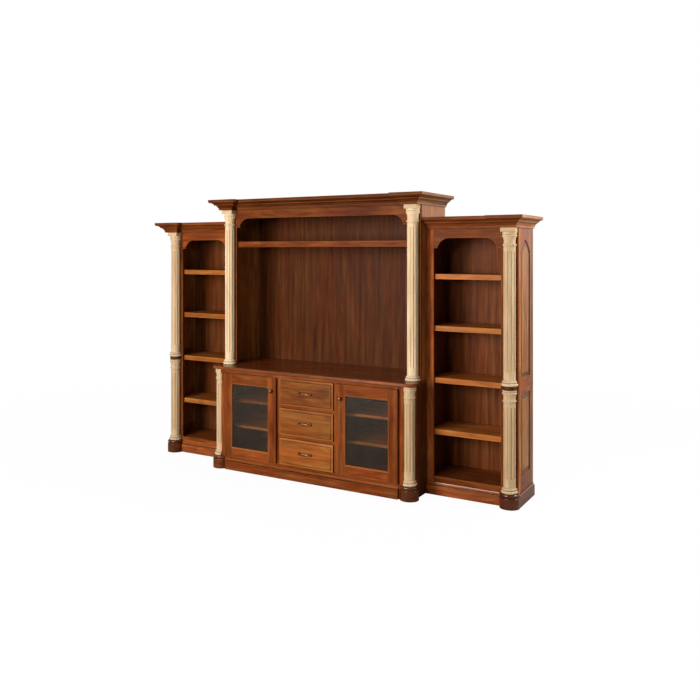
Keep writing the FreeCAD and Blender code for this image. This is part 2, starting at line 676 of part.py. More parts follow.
def build_console(cleats):
    """The console carcass, face frame, top, columns, shelves and plinth."""
    half, depth = S.hutch_half, S.console_depth
    inside, face_back = half - S.board, S.console_depth - S.frame_thick
    part_in = OPENING_DRAWER + S.slide_side + S.slide_play
    part_out = part_in + S.board
    shelf_tops, shelf_front = (S.console_shelf_low, S.console_shelf_up), S.console_shelf_front
    sides, partitions, shelves, columns, posts = [], [], [], [], []
    for name, side in SIDES:
        for z in shelf_tops:
            cleats += [cleat(part_out, 1, shelf_front, z, side), cleat(inside, -1, shelf_front, z, side)]
            shelves.append(box(part_out + S.shelf_play, inside - S.shelf_play, S.shelf_back, shelf_front,
                               z - S.shelf_thick, z, side))
        sides.append(box(inside, half, 0, POST_DEEP, 0, TOP_LOW, side))
        partitions.append(box(part_in, part_out, S.back_thick, face_back, S.deck_top, TOP_LOW, side))
        # The notched corner that each column stands in
        posts += [
            box(POST_X - S.frame_thick, POST_X, POST_DEEP - S.frame_thick, face_back, 0, TOP_LOW, side),
            box(POST_X, inside, POST_DEEP - S.frame_thick, POST_DEEP, 0, TOP_LOW, side),
        ]
        piece = column(TOP_LOW - S.neck_high - S.block_high, S.collar_low, S.corner_seat, side)
        columns.append(put(piece, CONSOLE_AXIS * side, BACK - CONSOLE_AXIS_DEEP, S.block_high))
    node("console_sides", *sides)
    node("console_partitions", *partitions)
    node("console_shelves", *shelves)
    node("console_columns", *columns)
    node("console_bottom", box(-inside, inside, S.back_thick, POST_DEEP - S.frame_thick, S.deck_top - S.board,
                               S.deck_top))

    # Back with one cable hole behind each glass door
    back = box(-inside, inside, 0, S.back_thick, 0, TOP_LOW)
    hole_x = (OPENING_INNER + OPENING_OUTER) / 2
    for name, side in SIDES:
        back = cut(back, rod(S.cable_radius, S.back_thick * 3, hole_x * side, BACK + S.back_thick, S.cable_height,
                             (1, 0, 0), 90))
    node("console_back", back)

    # Face frame: outer and inner stiles, top and low rails, two drawer rails and the cove under the top
    fronts, rails, openings = drawer_places()
    frame = posts
    for name, side in SIDES:
        frame += [
            box(OPENING_OUTER, POST_X, face_back, depth, 0, TOP_LOW, side),
            box(OPENING_DRAWER, OPENING_INNER, face_back, depth, S.deck_top, RAIL_TOP, side),
        ]
    frame += [
        box(-OPENING_OUTER, OPENING_OUTER, face_back, depth, RAIL_TOP, TOP_LOW),
        box(-OPENING_OUTER, OPENING_OUTER, face_back, depth, 0, S.deck_top),
    ]
    for rail in rails:
        frame.append(box(-OPENING_DRAWER, OPENING_DRAWER, face_back, depth, rail - S.drawer_rail / 2,
                         rail + S.drawer_rail / 2))
    cove = moulding([(0, 0), (3, 0), (S.cove_out, S.cove_high, -0.3), (0, S.cove_high)], POST_X * 2)
    frame.append(put(cove, -POST_X, BACK - depth, TOP_LOW - S.cove_high))
    node("console_face_frame", *frame)

    block_edge = CONSOLE_AXIS - S.block_radius
    cap = moulding(cap_profile(S.plinth_thick), block_edge * 2)
    put(cap, -block_edge, BACK - depth, S.plinth_high)
    node("console_plinth", box(-block_edge, block_edge, depth, depth + S.plinth_thick, 0, S.plinth_high), cap)
    build_console_top()


def build_console_top():
    """The top: a board whose front corners swell round the columns, with its upper edge eased."""
    r, axis = S.block_radius, CONSOLE_AXIS
    front, side_edge = CONSOLE_AXIS_DEEP + S.block_radius, S.hutch_half
    meet = math.sqrt(number(r) ** 2 - (number(side_edge) - number(axis)) ** 2)
    swell_back = CONSOLE_AXIS_DEEP - meet
    angle = math.pi / 2 + math.atan2(meet, number(side_edge) - number(axis))
    bulge = math.tan(angle / 4)
    body = doc.addObject("PartDesign::Body", "ConsoleTop")
    sketch = new_sketch(body, "XY_Plane")
    outline(sketch, [
        (-side_edge, 0), (-side_edge, -swell_back), (-axis, -front, bulge), (axis, -front),
        (side_edge, -swell_back, bulge), (side_edge, 0),
    ])
    pad = body.newObject("PartDesign::Pad", "Thickness")
    pad.Profile = sketch
    bind(pad, "Length", S.top_thick)
    doc.recompute()
    # Ease the upper edge along the front and round both swellings
    upper = []
    for index, edge in enumerate(pad.Shape.Edges, start=1):
        frame = edge.BoundBox
        if frame.ZMin > number(S.top_thick) - 0.01 and frame.YMax < -number(swell_back) + 0.01:
            upper.append(f"Edge{index}")
    rounded = body.newObject("PartDesign::Chamfer", "Easing")
    rounded.Base = (pad, upper)
    bind(rounded, "Size", S.top_ease)
    body.Tip = rounded
    put(body, 0, BACK, TOP_LOW)
    node("console_top", body)


def build_doors():
    """Two framed glass doors on pivot hinges at their outer edges, each with a knob."""
    brackets = []
    low, high = S.front_low, S.front_high
    x0, x1 = DOOR_INNER, DOOR_OUTER
    in0, in1 = x0 + S.door_stile, x1 - S.door_stile
    z0, z1 = low + S.door_low_rail, high - S.door_top_rail
    d0, d1 = FRONT_BACK, FRONT_FACE
    seat_deep = d0 + S.rebate_deep
    for name, side in SIDES:
        ends = (x0, x1) if side > 0 else (-x1, -x0)
        opening = (in0, in1) if side > 0 else (-in1, -in0)
        pivot_y = BACK - PIVOT_DEEP
        ring = cut(
            box(x0, x1, d0, d1, low, high, side),
            box(in0, in1, d0, d1, z0, z1, side),
            box(in0 - S.rebate, in1 + S.rebate, d0, seat_deep, z0 - S.rebate, z1 + S.rebate, side),
            taper(opening[0] - S.door_bevel, opening[1] + S.door_bevel, z0 - S.door_bevel, z1 + S.door_bevel,
                  d1, d1 - S.door_bevel_deep, S.door_bevel),
        )
        # Mortises for the two hinge plates, with a well below each for the end of its pin
        plates = []
        plate_x1 = x1 - S.plate_thick
        plate_x0 = plate_x1 - S.plate_long
        plate_d0, plate_d1 = PIVOT_DEEP - S.plate_wide / 2, PIVOT_DEEP + S.plate_wide / 2
        well = S.pivot_long + S.pivot_radius
        for edge, bottom, well_low in (
            (high, high - S.plate_thick, high - well), (low, low, low),
        ):
            plate = box(plate_x0, plate_x1, plate_d0, plate_d1, bottom, bottom + S.plate_thick, side)
            ring = cut(
                ring,
                box(plate_x0, plate_x1, plate_d0, plate_d1, bottom, bottom + S.plate_thick, side),
                box(PIVOT_X - S.pivot_well, PIVOT_X + S.pivot_well, PIVOT_DEEP - S.pivot_well,
                    PIVOT_DEEP + S.pivot_well, well_low, well_low + well, side),
            )
            plates.append(cut(plate, rod(S.pivot_radius + S.pivot_play, S.plate_thick, PIVOT_X * side, pivot_y,
                                         bottom)))
        stile_in, stile_out = box(x0, in0, d0, d1, low, high, side), box(in1, x1, d0, d1, low, high, side)
        rail_low, rail_high = box(in0, in1, d0, d1, low, z0, side), box(in0, in1, d0, d1, z1, high, side)
        frame = [common(ring, part) for part in (stile_in, stile_out, rail_low, rail_high)]
        # Stops that hold the pane in its rebate
        pane_back = seat_deep - S.glass_thick
        wide = S.rebate
        frame += [
            box(in0 - wide, in0, d0, pane_back, z0 - wide, z1 + wide, side),
            box(in1, in1 + wide, d0, pane_back, z0 - wide, z1 + wide, side),
            box(in0, in1, d0, pane_back, z0 - wide, z0, side),
            box(in0, in1, d0, pane_back, z1, z1 + wide, side),
        ]
        node(f"{name}_door_frame", *frame)
        play = S.rebate - S.glass_play
        node(f"{name}_door_glass",
             box(in0 - play, in1 + play, pane_back, seat_deep, z0 - play, z1 + play, side))
        node(f"{name}_door_hinge_plates", *plates)
        knob = turned([
            (0, 0), (S.knob_neck, 0), (S.knob_neck, S.knob_reach - S.knob_thick),
            (S.knob_radius, S.knob_reach - S.knob_thick), (S.knob_radius, S.knob_reach), (0, S.knob_reach),
        ])
        put(knob, (x0 + in0) / 2 * side, BACK - FRONT_FACE, high - S.knob_drop, (1, 0, 0), 90)
        node(f"{name}_door_knob", knob)

        # Fixed halves: a leaf on the face frame, a tongue over the door edge and the pivot pin
        for edge, up in ((high, 1), (low, -1)):
            near = edge + S.tongue_gap * up
            far = near + S.tongue_thick * up
            end = near + S.leaf_high * up
            tongue_z = (near, far) if up > 0 else (far, near)
            leaf_z = (near, end) if up > 0 else (end, near)
            pin_low = edge - S.pivot_long if up > 0 else near
            pin_long = S.pivot_long + S.tongue_gap
            brackets.append(fuse(
                box(plate_x0, plate_x1, S.console_depth, S.console_depth + S.tongue_thick, *leaf_z, side),
                box(PIVOT_X - S.plate_wide / 2, plate_x1, S.console_depth, plate_d1, *tongue_z, side),
                rod(S.pivot_radius, pin_long, PIVOT_X * side, pivot_y, pin_low),
            ))
    node("hinge_brackets", *brackets)


def bail_piece(y, z):
    """A cast bail: a flat U with rounded lower corners, and a round stub at each end that turns in its post."""
    wide, half, drop = S.bail_radius * 2, S.bail_half, S.bail_drop
    outer, low, top = half + S.bail_radius, -drop - S.bail_radius, S.bail_radius
    curve = math.tan(math.pi / 8)
    bend, inner_bend = S.bail_bend, S.bail_bend - wide
    inner, inner_low = outer - wide, low + wide
    loop = slab([
        (-outer, top), (-outer, low + bend), (-outer + bend, low, curve), (outer - bend, low),
        (outer, low + bend, curve), (outer, top), (inner, top), (inner, inner_low + inner_bend),
        (inner - inner_bend, inner_low, -curve), (-inner + inner_bend, inner_low),
        (-inner, inner_low + inner_bend, -curve), (-inner, top),
    ], wide)
    put(loop, 0, y, z)
    stubs = [
        rod(S.bail_radius, inner - S.bail_stub, start, y, z, (0, 1, 0), 90) for start in (-inner, S.bail_stub)
    ]
    return fuse(loop, *stubs)


def build_drawers():
    """Three drawers with raised fronts, boxes, side runners, and a bail pull on two posts."""
    channels = []
    fronts, rails, openings = drawer_places()
    names = ("bottom_drawer", "middle_drawer", "top_drawer")
    half = S.drawer_half
    box_half = OPENING_DRAWER - S.slide_side - S.runner_thick
    back_end = FRONT_BACK - S.box_long
    for name, (low, high), (gap_low, gap_high) in zip(names, fronts, openings):
        edge = FRONT_BACK + S.field_edge
        slope = edge + S.field_slope
        front = fuse(
            box(-half, half, FRONT_BACK, edge, low, high),
            taper(-half + S.field_lip, half - S.field_lip, low + S.field_lip, high - S.field_lip, edge, slope,
                  S.field_border - S.field_lip),
            box(-half + S.field_border, half - S.field_border, edge, FRONT_FACE, low + S.field_border,
                high - S.field_border),
        )
        node(f"{name}_front", front)

        z0, z1 = gap_low + S.box_lift, gap_high - S.box_room
        inner = box_half - S.box_side
        floor = z0 + S.box_lift
        node(
            f"{name}_box",
            *[box(inner, box_half, back_end, FRONT_BACK, z0, z1, side) for label, side in SIDES],
            box(-inner, inner, FRONT_BACK - S.box_side, FRONT_BACK, z0, z1),
            box(-inner, inner, back_end, back_end + S.box_side, z0, z1),
            box(-inner, inner, back_end + S.box_side, FRONT_BACK - S.box_side, floor, floor + S.box_bottom),
        )
        middle = (z0 + z1) / 2
        run_half = S.runner_high / 2
        runner_end = FRONT_BACK - S.box_side
        node(f"{name}_runners", *[
            box(box_half, box_half + S.runner_thick, back_end, runner_end, middle - run_half, middle + run_half, side)
            for label, side in SIDES
        ])
        # Fixed channels on the partitions: a web with a flange above and below the runner
        web = OPENING_DRAWER + S.slide_side + S.slide_play
        flange = web - S.channel_wall - S.channel_reach
        channel_end = S.console_depth - S.frame_thick
        lip = run_half + S.channel_play
        for label, side in SIDES:
            channels += [
                box(web - S.channel_wall, web, back_end, channel_end, middle - lip - S.channel_wall,
                    middle + lip + S.channel_wall, side),
                box(flange, web - S.channel_wall, back_end, channel_end, middle + lip, middle + lip + S.channel_wall,
                    side),
                box(flange, web - S.channel_wall, back_end, channel_end, middle - lip - S.channel_wall, middle - lip,
                    side),
            ]
        pivot_z = (low + high) / 2 + S.bail_rise
        pivot_deep = FRONT_FACE + S.bail_ahead
        posts = []
        for label, side in SIDES:
            lug = box(S.post_spread - S.post_half, S.post_spread + S.post_half, FRONT_FACE, FRONT_FACE + S.post_reach,
                      pivot_z - S.post_half, pivot_z + S.post_half, side)
            plate = box(S.post_spread - S.rosette_half, S.post_spread + S.rosette_half, FRONT_FACE,
                        FRONT_FACE + S.rosette_thick, pivot_z - S.rosette_half, pivot_z + S.rosette_half, side)
            hole = cross_rod(S.bail_radius + S.bail_play, S.post_half * 4, S.post_spread * side - S.post_half * 2,
                             pivot_deep, pivot_z)
            posts.append(cut(fuse(lug, plate), hole))
        node(f"{name}_pull_posts", *posts)
        node(f"{name}_bail", bail_piece(BACK - pivot_deep, pivot_z))
    node("drawer_slide_channels", *channels)


all_cleats = build_piers()
build_turnings()
build_hutch()
build_console(all_cleats)
build_doors()
build_drawers()
node("shelf_cleats", *all_cleats)
doc.recompute()

failed = [item.Label for item in doc.Objects if "Invalid" in item.State or "Error" in item.State]
failed += [item.Label for item in NODES if item.Shape.isNull() or not item.Shape.isValid()]
if failed:
    raise SystemExit(f"these did not build: {failed}")
os.makedirs("parts", exist_ok=True)
for item in NODES:
    item.Shape.exportStep(f"parts/{item.Label}.step")
    frame = item.Shape.BoundBox
    print(f"{item.Label}: {len(item.Shape.Solids)} solids, x {frame.XMin:.1f} to {frame.XMax:.1f}, "
          f"y {frame.YMin:.1f} to {frame.YMax:.1f}, z {frame.ZMin:.1f} to {frame.ZMax:.1f}")
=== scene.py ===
import json
import math
import random

import bmesh
import bpy
from mathutils import Matrix, Vector


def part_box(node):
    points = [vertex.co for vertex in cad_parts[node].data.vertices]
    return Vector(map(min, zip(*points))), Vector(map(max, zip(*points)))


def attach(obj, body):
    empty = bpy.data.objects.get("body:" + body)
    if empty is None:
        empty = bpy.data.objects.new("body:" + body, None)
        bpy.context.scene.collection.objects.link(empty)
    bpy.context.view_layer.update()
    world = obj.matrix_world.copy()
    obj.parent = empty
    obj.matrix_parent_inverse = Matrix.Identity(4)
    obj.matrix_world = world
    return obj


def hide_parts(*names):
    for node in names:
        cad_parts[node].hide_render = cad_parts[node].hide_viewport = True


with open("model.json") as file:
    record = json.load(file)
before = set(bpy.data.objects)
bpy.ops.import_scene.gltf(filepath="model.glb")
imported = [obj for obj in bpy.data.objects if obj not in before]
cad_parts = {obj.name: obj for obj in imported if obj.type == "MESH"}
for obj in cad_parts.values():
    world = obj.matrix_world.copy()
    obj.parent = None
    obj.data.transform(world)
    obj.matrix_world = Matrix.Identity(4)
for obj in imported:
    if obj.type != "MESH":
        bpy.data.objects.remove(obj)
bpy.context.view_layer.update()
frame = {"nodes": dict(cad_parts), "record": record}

NODES = frame["nodes"]
RECORD = frame["record"]
BODY_OF = {node: body for body, nodes in RECORD["behaviour"]["bodies"].items() for node in nodes}
SLOT_OF = {part["node"]: part["material_slot"] for part in RECORD["subparts"]}
MM = 0.001
# Lengths below a micron count as nothing, and points are matched by whole microns
MICRON, PER_METRE = 1e-6, 1e6
SIDES = (("left", -1), ("right", 1))
WHITE = (1, 1, 1, 1)


# Shader graphs

class Nodes:
    """Short calls that add nodes to a tree."""

    # Sockets of a colour mix: its factor, its two colours and its result
    FACTOR, FIRST, SECOND, RESULT = 0, 6, 7, 2

    def __init__(self, tree):
        self.tree = tree

    def add(self, kind, settings=None, **inputs):
        """Adds a node. Inputs are socket names, or an underscore and a socket's number. A socket is
        linked and a plain value is set."""
        node = self.tree.nodes.new(kind)
        for name, value in (settings or {}).items():
            setattr(node, name, value)
        for name, value in inputs.items():
            number = name[1:]
            key = int(number) if number.isdigit() else name.replace("_", " ")
            self.feed(node.inputs[key], value)
        return node

    def feed(self, socket, value):
        if isinstance(value, bpy.types.NodeSocket):
            self.tree.links.new(value, socket)
        else:
            socket.default_value = value

    def attribute(self, name, output="Fac"):
        return self.add("ShaderNodeAttribute", {"attribute_name": name}).outputs[output]

    def place(self):
        """Coordinates in the piece's own frame."""
        return self.add("ShaderNodeTexCoord").outputs["Object"]

    def seen(self):
        """1 for what the camera sees itself, and 0 for what only lights or mirrors something else."""
        return self.add("ShaderNodeLightPath").outputs["Is Camera Ray"]

    def noise(self, vector, waves, detail=4.0, rough=0.55, distortion=0.0):
        """Noise with so many waves per metre, given once or for each axis."""
        if isinstance(waves, tuple):
            vector = self.add("ShaderNodeMapping", Vector=vector, Scale=waves).outputs["Vector"]
            waves = 1.0
        node = self.add("ShaderNodeTexNoise", Vector=vector, Scale=waves, Detail=detail, Roughness=rough)
        node.inputs["Distortion"].default_value = distortion
        return node.outputs["Fac"]

    def ramp(self, value, *stops):
        """A colour ramp from (position, colour) stops; a plain number is a grey."""
        node = self.add("ShaderNodeValToRGB", Fac=value)
        elements = node.color_ramp.elements
        while len(elements) < len(stops):
            elements.new(0.5)
        for element, (position, colour) in zip(elements, stops):
            element.position = position
            element.color = (colour,) * 3 + (1,) if isinstance(colour, (int, float)) else (*colour, 1)
        return node.outputs["Color"]

    def remap(self, value, start, end, low, high):
        """A value that goes from low to high while another one goes from start to end."""
        node = self.add(
            "ShaderNodeMapRange", Value=value, From_Min=start, From_Max=end, To_Min=low, To_Max=high)
        return node.outputs["Result"]

    def mix(self, kind, factor, first, second):
        node = self.add("ShaderNodeMix", {"data_type": "RGBA", "blend_type": kind})
        self.feed(node.inputs[self.FACTOR], factor)
        for index, colour in ((self.FIRST, first), (self.SECOND, second)):
            linked = isinstance(colour, bpy.types.NodeSocket)
            self.feed(node.inputs[index], colour if linked else (*colour, 1))
        return node.outputs[self.RESULT]

    def maths(self, kind, first, second):
        return self.add("ShaderNodeMath", {"operation": kind}, _0=first, _1=second).outputs[0]


class Surface(Nodes):
    """One material with a principled shader."""

    def __init__(self, name, **sockets):
        self.material = bpy.data.materials.new(name)
        self.material.use_nodes = True
        super().__init__(self.material.node_tree)
        self.shader = self.tree.nodes["Principled BSDF"]
        for socket, value in sockets.items():
            self.shader.inputs[socket.replace("_", " ")].default_value = value

    def colour(self, value):
        self.feed(self.shader.inputs["Base Color"], value)

    def roughness(self, value):
        self.feed(self.shader.inputs["Roughness"], value)

    def sheen(self, value):
        self.feed(self.shader.inputs["Specular IOR Level"], value)

    def bump(self, height, strength, distance):
        node = self.add("ShaderNodeBump", Height=height, Strength=strength, Distance=distance)
        self.feed(self.shader.inputs["Normal"], node.outputs["Normal"])


def srgb(code):
    """A hex colour as linear values."""
    parts = [int(code[i:i + 2], 16) / 255 for i in (0, 2, 4)]
    return tuple(p / 12.92 if p <= 0.04045 else ((p + 0.055) / 1.055) ** 2.4 for p in parts)


# Wood: waves per metre along and across the grain
FIBRE_WAVES = (1.6, 34, 34)
FLAME_WAVES = (2.4, 11, 11)
BLOTCH_WAVES = (3.5, 9, 9)
STREAK_WAVES = (5, 260, 260)
# Tint of the redder and of the paler blotches
RED_BLOTCH, PALE_BLOTCH = (1.0, 0.80, 0.68), (0.97, 1.0, 1.0)
# Brightness of a board of tone 0, and what a tone of 1 adds to it
TONE_FLOOR, TONE_GAIN = 0.35, 0.75
# How much of the stain pores, worn edges with their painted highlight, and glaze with painted shade cover
PORE_COVER, RUB_AND_HIGHLIGHT_COVER, GLAZE_AND_SHADE_COVER = 0.35, 0.6, 0.75
# How far from a corner the darkening reaches: glaze in joints, and painted shade in corners and recesses
GLAZE_AND_SHADE_REACH = 16 * MM
# Sheen of pieces that run from front to back
POLISH_SHEEN = 0.38
PORE_DEPTH = 0.5 * MM


def wood(name, stain, sheen=0.03, rough=(0.34, 0.48), figure=0.5):
    """A stained board: fibre streaks along the grain, flame figure, pores, a tone for each board that is
    partly painted light and shade, edges worn lighter with a painted highlight, and dark glaze with painted
    shade in joints, corners and steps. stain has the dark, middle, light, pore and glaze colours."""
    dark, middle, light, pore, glaze = (srgb(code) for code in stain)
    g = Surface(name)
    grain = g.attribute("grain", "Vector")
    fibre = g.noise(grain, FIBRE_WAVES, detail=7, rough=0.62, distortion=0.5)
    flame = g.noise(grain, FLAME_WAVES, detail=4, rough=0.55, distortion=1.6)
    blotch = g.noise(grain, BLOTCH_WAVES, detail=3, rough=0.5, distortion=0.8)
    streak = g.noise(grain, STREAK_WAVES, detail=4, rough=0.6)
    shade = g.ramp(g.mix("MIX", figure, fibre, flame), (0.34, dark), (0.50, middle), (0.66, light))
    shade = g.mix("MULTIPLY", 1.0, shade, g.ramp(blotch, (0.36, RED_BLOTCH), (0.64, PALE_BLOTCH)))
    bright = g.maths("ADD", g.maths("MULTIPLY", g.attribute("tone"), TONE_GAIN), TONE_FLOOR)
    shade = g.mix("MULTIPLY", 1.0, shade, bright)
    pores = g.ramp(streak, (0.34, 1.0), (0.44, 0.0))
    shade = g.mix("MIX", g.maths("MULTIPLY", pores, PORE_COVER), shade, pore)
    # Worn edges and slopes turn towards the light colour: real wear, and a painted highlight where they
    # catch light
    shade = g.mix("MIX", g.maths("MULTIPLY", g.attribute("rubbed"), RUB_AND_HIGHLIGHT_COVER), shade, light)
    # Ambient occlusion darkens corners, recesses and steps as painted shade, on top of the glaze in joints
    # and on marked faces
    openness = g.add("ShaderNodeAmbientOcclusion", {"samples": 8}, Distance=GLAZE_AND_SHADE_REACH).outputs["AO"]
    glaze_and_shade_mask = g.maths("MAXIMUM", g.ramp(openness, (0.25, 1.0), (0.72, 0.0)), g.attribute("glazed"))
    g.colour(g.mix("MIX", g.maths("MULTIPLY", glaze_and_shade_mask, GLAZE_AND_SHADE_COVER), shade, glaze))
    g.sheen(g.ramp(g.attribute("polish"), (0.0, sheen), (1.0, POLISH_SHEEN)))
    g.roughness(g.ramp(fibre, (0.2, rough[0]), (0.8, rough[1])))
    g.bump(streak, 0.2, PORE_DEPTH)
    return g.material


# Paint: waves per metre along and across the brush strokes
BRUSH_WAVES = (3, 70, 70)
CLOUD_WAVES = (4, 9, 9)
SPECK_WAVES = (160, 230, 230)
# Paint of tone 0, how much its clouds show, and how strong the painted highlight in paler cream is on crests
DULL_PAINT = (0.60, 0.53, 0.45)
CLOUD_COVER, PAINTED_CREST_HIGHLIGHT = 0.6, 0.12
BRUSH_DEPTH = 0.5 * MM


def glazed_paint(name):
    """Cream paint under a brown glaze that stays in flutes and grooves, with brushed streaks, specks and a
    painted highlight on crests.
    """
    g = Surface(name, Specular_IOR_Level=0.1)
    grain = g.attribute("grain", "Vector")
    brush = g.noise(grain, BRUSH_WAVES, detail=5, rough=0.6, distortion=0.3)
    cloud = g.noise(grain, CLOUD_WAVES, detail=3, rough=0.5)
    speck = g.noise(grain, SPECK_WAVES, detail=2, rough=0.4)
    paint = g.ramp(brush, (0.25, srgb("c4a378")), (0.5, srgb("dfc198")), (0.75, srgb("eed8b9")))
    paint = g.mix("MULTIPLY", CLOUD_COVER, paint, g.ramp(cloud, (0.3, 0.82), (0.7, 1.05)))
    paint = g.mix("MULTIPLY", 1.0, paint, g.ramp(g.attribute("tone"), (0.0, DULL_PAINT), (1.0, 1.0)))
    ragged = g.maths("MULTIPLY", g.attribute("hollow"), g.ramp(brush, (0.2, 1.15), (0.8, 0.75)))
    paint = g.mix("MIX", g.ramp(ragged, (0.1, 0.0), (1.0, 0.8)), paint, srgb("7d5629"))
    # Crests of the turnings turn a paler cream: a painted highlight
    paint = g.mix("MIX", g.maths("MULTIPLY", g.attribute("crest"), PAINTED_CREST_HIGHLIGHT), paint, srgb("fbeed6"))
    paint = g.mix("MIX", g.ramp(speck, (0.70, 0.0), (0.74, 0.7)), paint, srgb("4a2c14"))
    g.colour(paint)
    g.roughness(g.ramp(brush, (0.2, 0.45), (0.8, 0.6)))
    g.bump(brush, 0.15, BRUSH_DEPTH)
    return g.material


def metal(name, base, worn, rough, metallic=1.0, sheen=0.5):
    """A metal with a tarnish that varies over its surface."""
    g = Surface(name, Metallic=metallic, Specular_IOR_Level=sheen)
    place = g.place()
    tarnish = g.noise(place, 90, detail=5, rough=0.6)
    g.colour(g.ramp(tarnish, (0.35, srgb(base)), (0.65, srgb(worn))))
    g.roughness(g.ramp(tarnish, (0.3, rough[0]), (0.7, rough[1])))
    g.bump(g.noise(place, 700, detail=2), 0.1, 0.3 * MM)
    return g.material


def smoked_glass(name):
    """Thin smoked glass, with a faint cloud in its tint."""
    g = Surface(name, Roughness=0.03, IOR=1.5, Specular_IOR_Level=0.7, Alpha=0.24)
    place = g.place()
    g.colour(g.ramp(g.noise(place, 5, detail=3), (0.3, srgb("3a3027")), (0.7, srgb("463a2f"))))
    g.bump(g.noise(place, 6, detail=2), 0.02, 2 * MM)
    return g.material


CHERRY_STAIN = ("602c11", "894720", "ad632d", "431c0a", "1e0c05")
# A paler, more brown stain that stands in for the sheen on the sides and returns that face the side light:
# painted sheen
PAINTED_SHEEN_STAIN = ("6c3d1f", "94602f", "b48049", "4a2610", "1e0c05")
GOLDEN_STAIN = ("7c3e15", "a15e26", "c27e3a", "52260c", "241006")
VENEER_STAIN = ("62301a", "7d4523", "985b30", "4a2210", "1e0c05")
DARK_STAIN = ("3a1808", "5e2c10", "82451c", "230e05", "140804")
MAPLE_STAIN = ("b8935f", "cfae7b", "e0c697", "96703f", "6e4f2b")

CHERRY = wood("stained_cherry", CHERRY_STAIN)
# Painted sheen: the stain of the sides, side stiles and crown returns
PAINTED_SHEEN = wood("painted_sheen_cherry", PAINTED_SHEEN_STAIN)
POLISHED = wood("polished_cherry", CHERRY_STAIN, sheen=0.3, rough=(0.2, 0.3))
GOLDEN = wood("golden_cherry", GOLDEN_STAIN, sheen=0.08)
VENEER = wood("stained_veneer", VENEER_STAIN, figure=0.25)
DARK = wood("dark_stain", DARK_STAIN, sheen=0.4, rough=(0.14, 0.22))
SATIN = wood("dark_satin", DARK_STAIN, sheen=0.12)
MAPLE = wood("drawer_maple", MAPLE_STAIN)
CREAM = glazed_paint("cream_glaze")
BRASS = metal("antique_brass", "553012", "8a5526", (0.24, 0.38), metallic=0.6)
BRONZE = metal("brown_bronze", "6a3617", "7f4420", (0.5, 0.65), metallic=0.0, sheen=0.03)
STEEL = metal("plated_steel", "9a9a9c", "b9b9bb", (0.25, 0.4))
GLASS = smoked_glass("smoked_glass")
FINISH = {
    "cherry_stain": CHERRY, "dark_stain": DARK, "drawer_maple": MAPLE, "cream_glaze": CREAM,
    "antique_brass": BRASS, "plated_steel": STEEL, "smoked_glass": GLASS,
}


# Tones of the boards, from 0 for dark to 1 for light and beyond

USUAL_TONES = (0.33, 0.55)
BOX_TONES = (0.7, 0.95)
# Nodes whose boards are darker or lighter. Most are painted light and shade: the hutch crown, hutch face
# frame, hutch back, inner sides and the console's sides, back, partitions and bottom are darker as painted
# shade; the hutch sides, right pier shelves and console shelves are lighter as painted light; and the drawer
# fronts get lighter downwards as painted light
TONES = {
    "hutch_crown": (0.0, 0.05),
    "hutch_back": (0.0, 0.05),
    "hutch_face_frame": (0.15, 0.3),
    "hutch_shelf": (0.3, 0.35),
    "hutch_sides": (0.9, 1.0),
    "left_pier_crown": (0.25, 0.4),
    "right_pier_crown": (0.25, 0.4),
    "pier_side_panels": (0.7, 0.8),
    "pier_inner_sides": (0.0, 0.1),
    "left_pier_shelves": (0.5, 0.6),
    "right_pier_shelves": (0.9, 1.0),
    "console_sides": (0.0, 0.05),
    "console_plinth": (0.4, 0.5),
    "console_back": (0.0, 0.05),
    "console_partitions": (0.0, 0.1),
    "console_bottom": (0.0, 0.1),
    "console_shelves": (0.95, 1.0),
    "top_drawer_front": (0.12, 0.14),
    "middle_drawer_front": (0.28, 0.3),
    "bottom_drawer_front": (0.55, 0.58),
    "top_drawer_box": BOX_TONES,
    "middle_drawer_box": BOX_TONES,
    "bottom_drawer_box": BOX_TONES,
    "column_rings": (0.5, 0.6),
    "base_blocks": (0.45, 0.55),
}
# Nodes with one tone to the left of an x and another to the right of it: x, left tone, right tone
# These tones are painted light and shade: the right pier's left stile is lighter where the hutch shades it,
# and the left pier's left stile and the left pier's backs are darker as painted shade
LEFT_RIGHT = {
    "right_pier_face_frame": (1.0, 1.15, 0.25),
    "left_pier_face_frame": (-1.3, 0.1, 0.68),
    "pier_backs": (0, 0.25, 0.42),
}
# Crowns that return along the right: where the return starts, and its tone
# The crown returns are lighter as painted light
CROWN_ENDS = {"hutch_crown": (0.86, 0.6), "right_pier_crown": (1.54, 1.2)}
# Framed pier sides: depths between which the rails have their middle, height below which a rail is the
# low one, and tones
# The side tones are painted light and shade: the front stile and high rail are lighter, the back stile and
# low rail darker
SIDE_RAILS, SIDE_LOW = (0.05, 0.2), 0.3
SIDE_TONES = {"front stile": 1.15, "back stile": 0.3, "low rail": 0.35, "high rail": 0.7}
# Doors: height below which a board is the low rail, and its tone
# The doors' low rails are lighter as a painted highlight
DOOR_LOW, DOOR_LOW_TONE = 0.16, 0.68
# Pier plinths: x beyond which a board runs along the outer side, its tone, and that of the front
# The plinths' outer side boards are darker as painted shade, and their fronts lighter as painted light
PLINTH_OUTER, PLINTH_SIDE_TONE, PLINTH_FRONT_TONE = 1.5, 0.1, 0.9


def is_crown_end(node, centre):
    """Whether a board is the return of a crown along the right."""
    return node in CROWN_ENDS and centre.x > CROWN_ENDS[node][0]


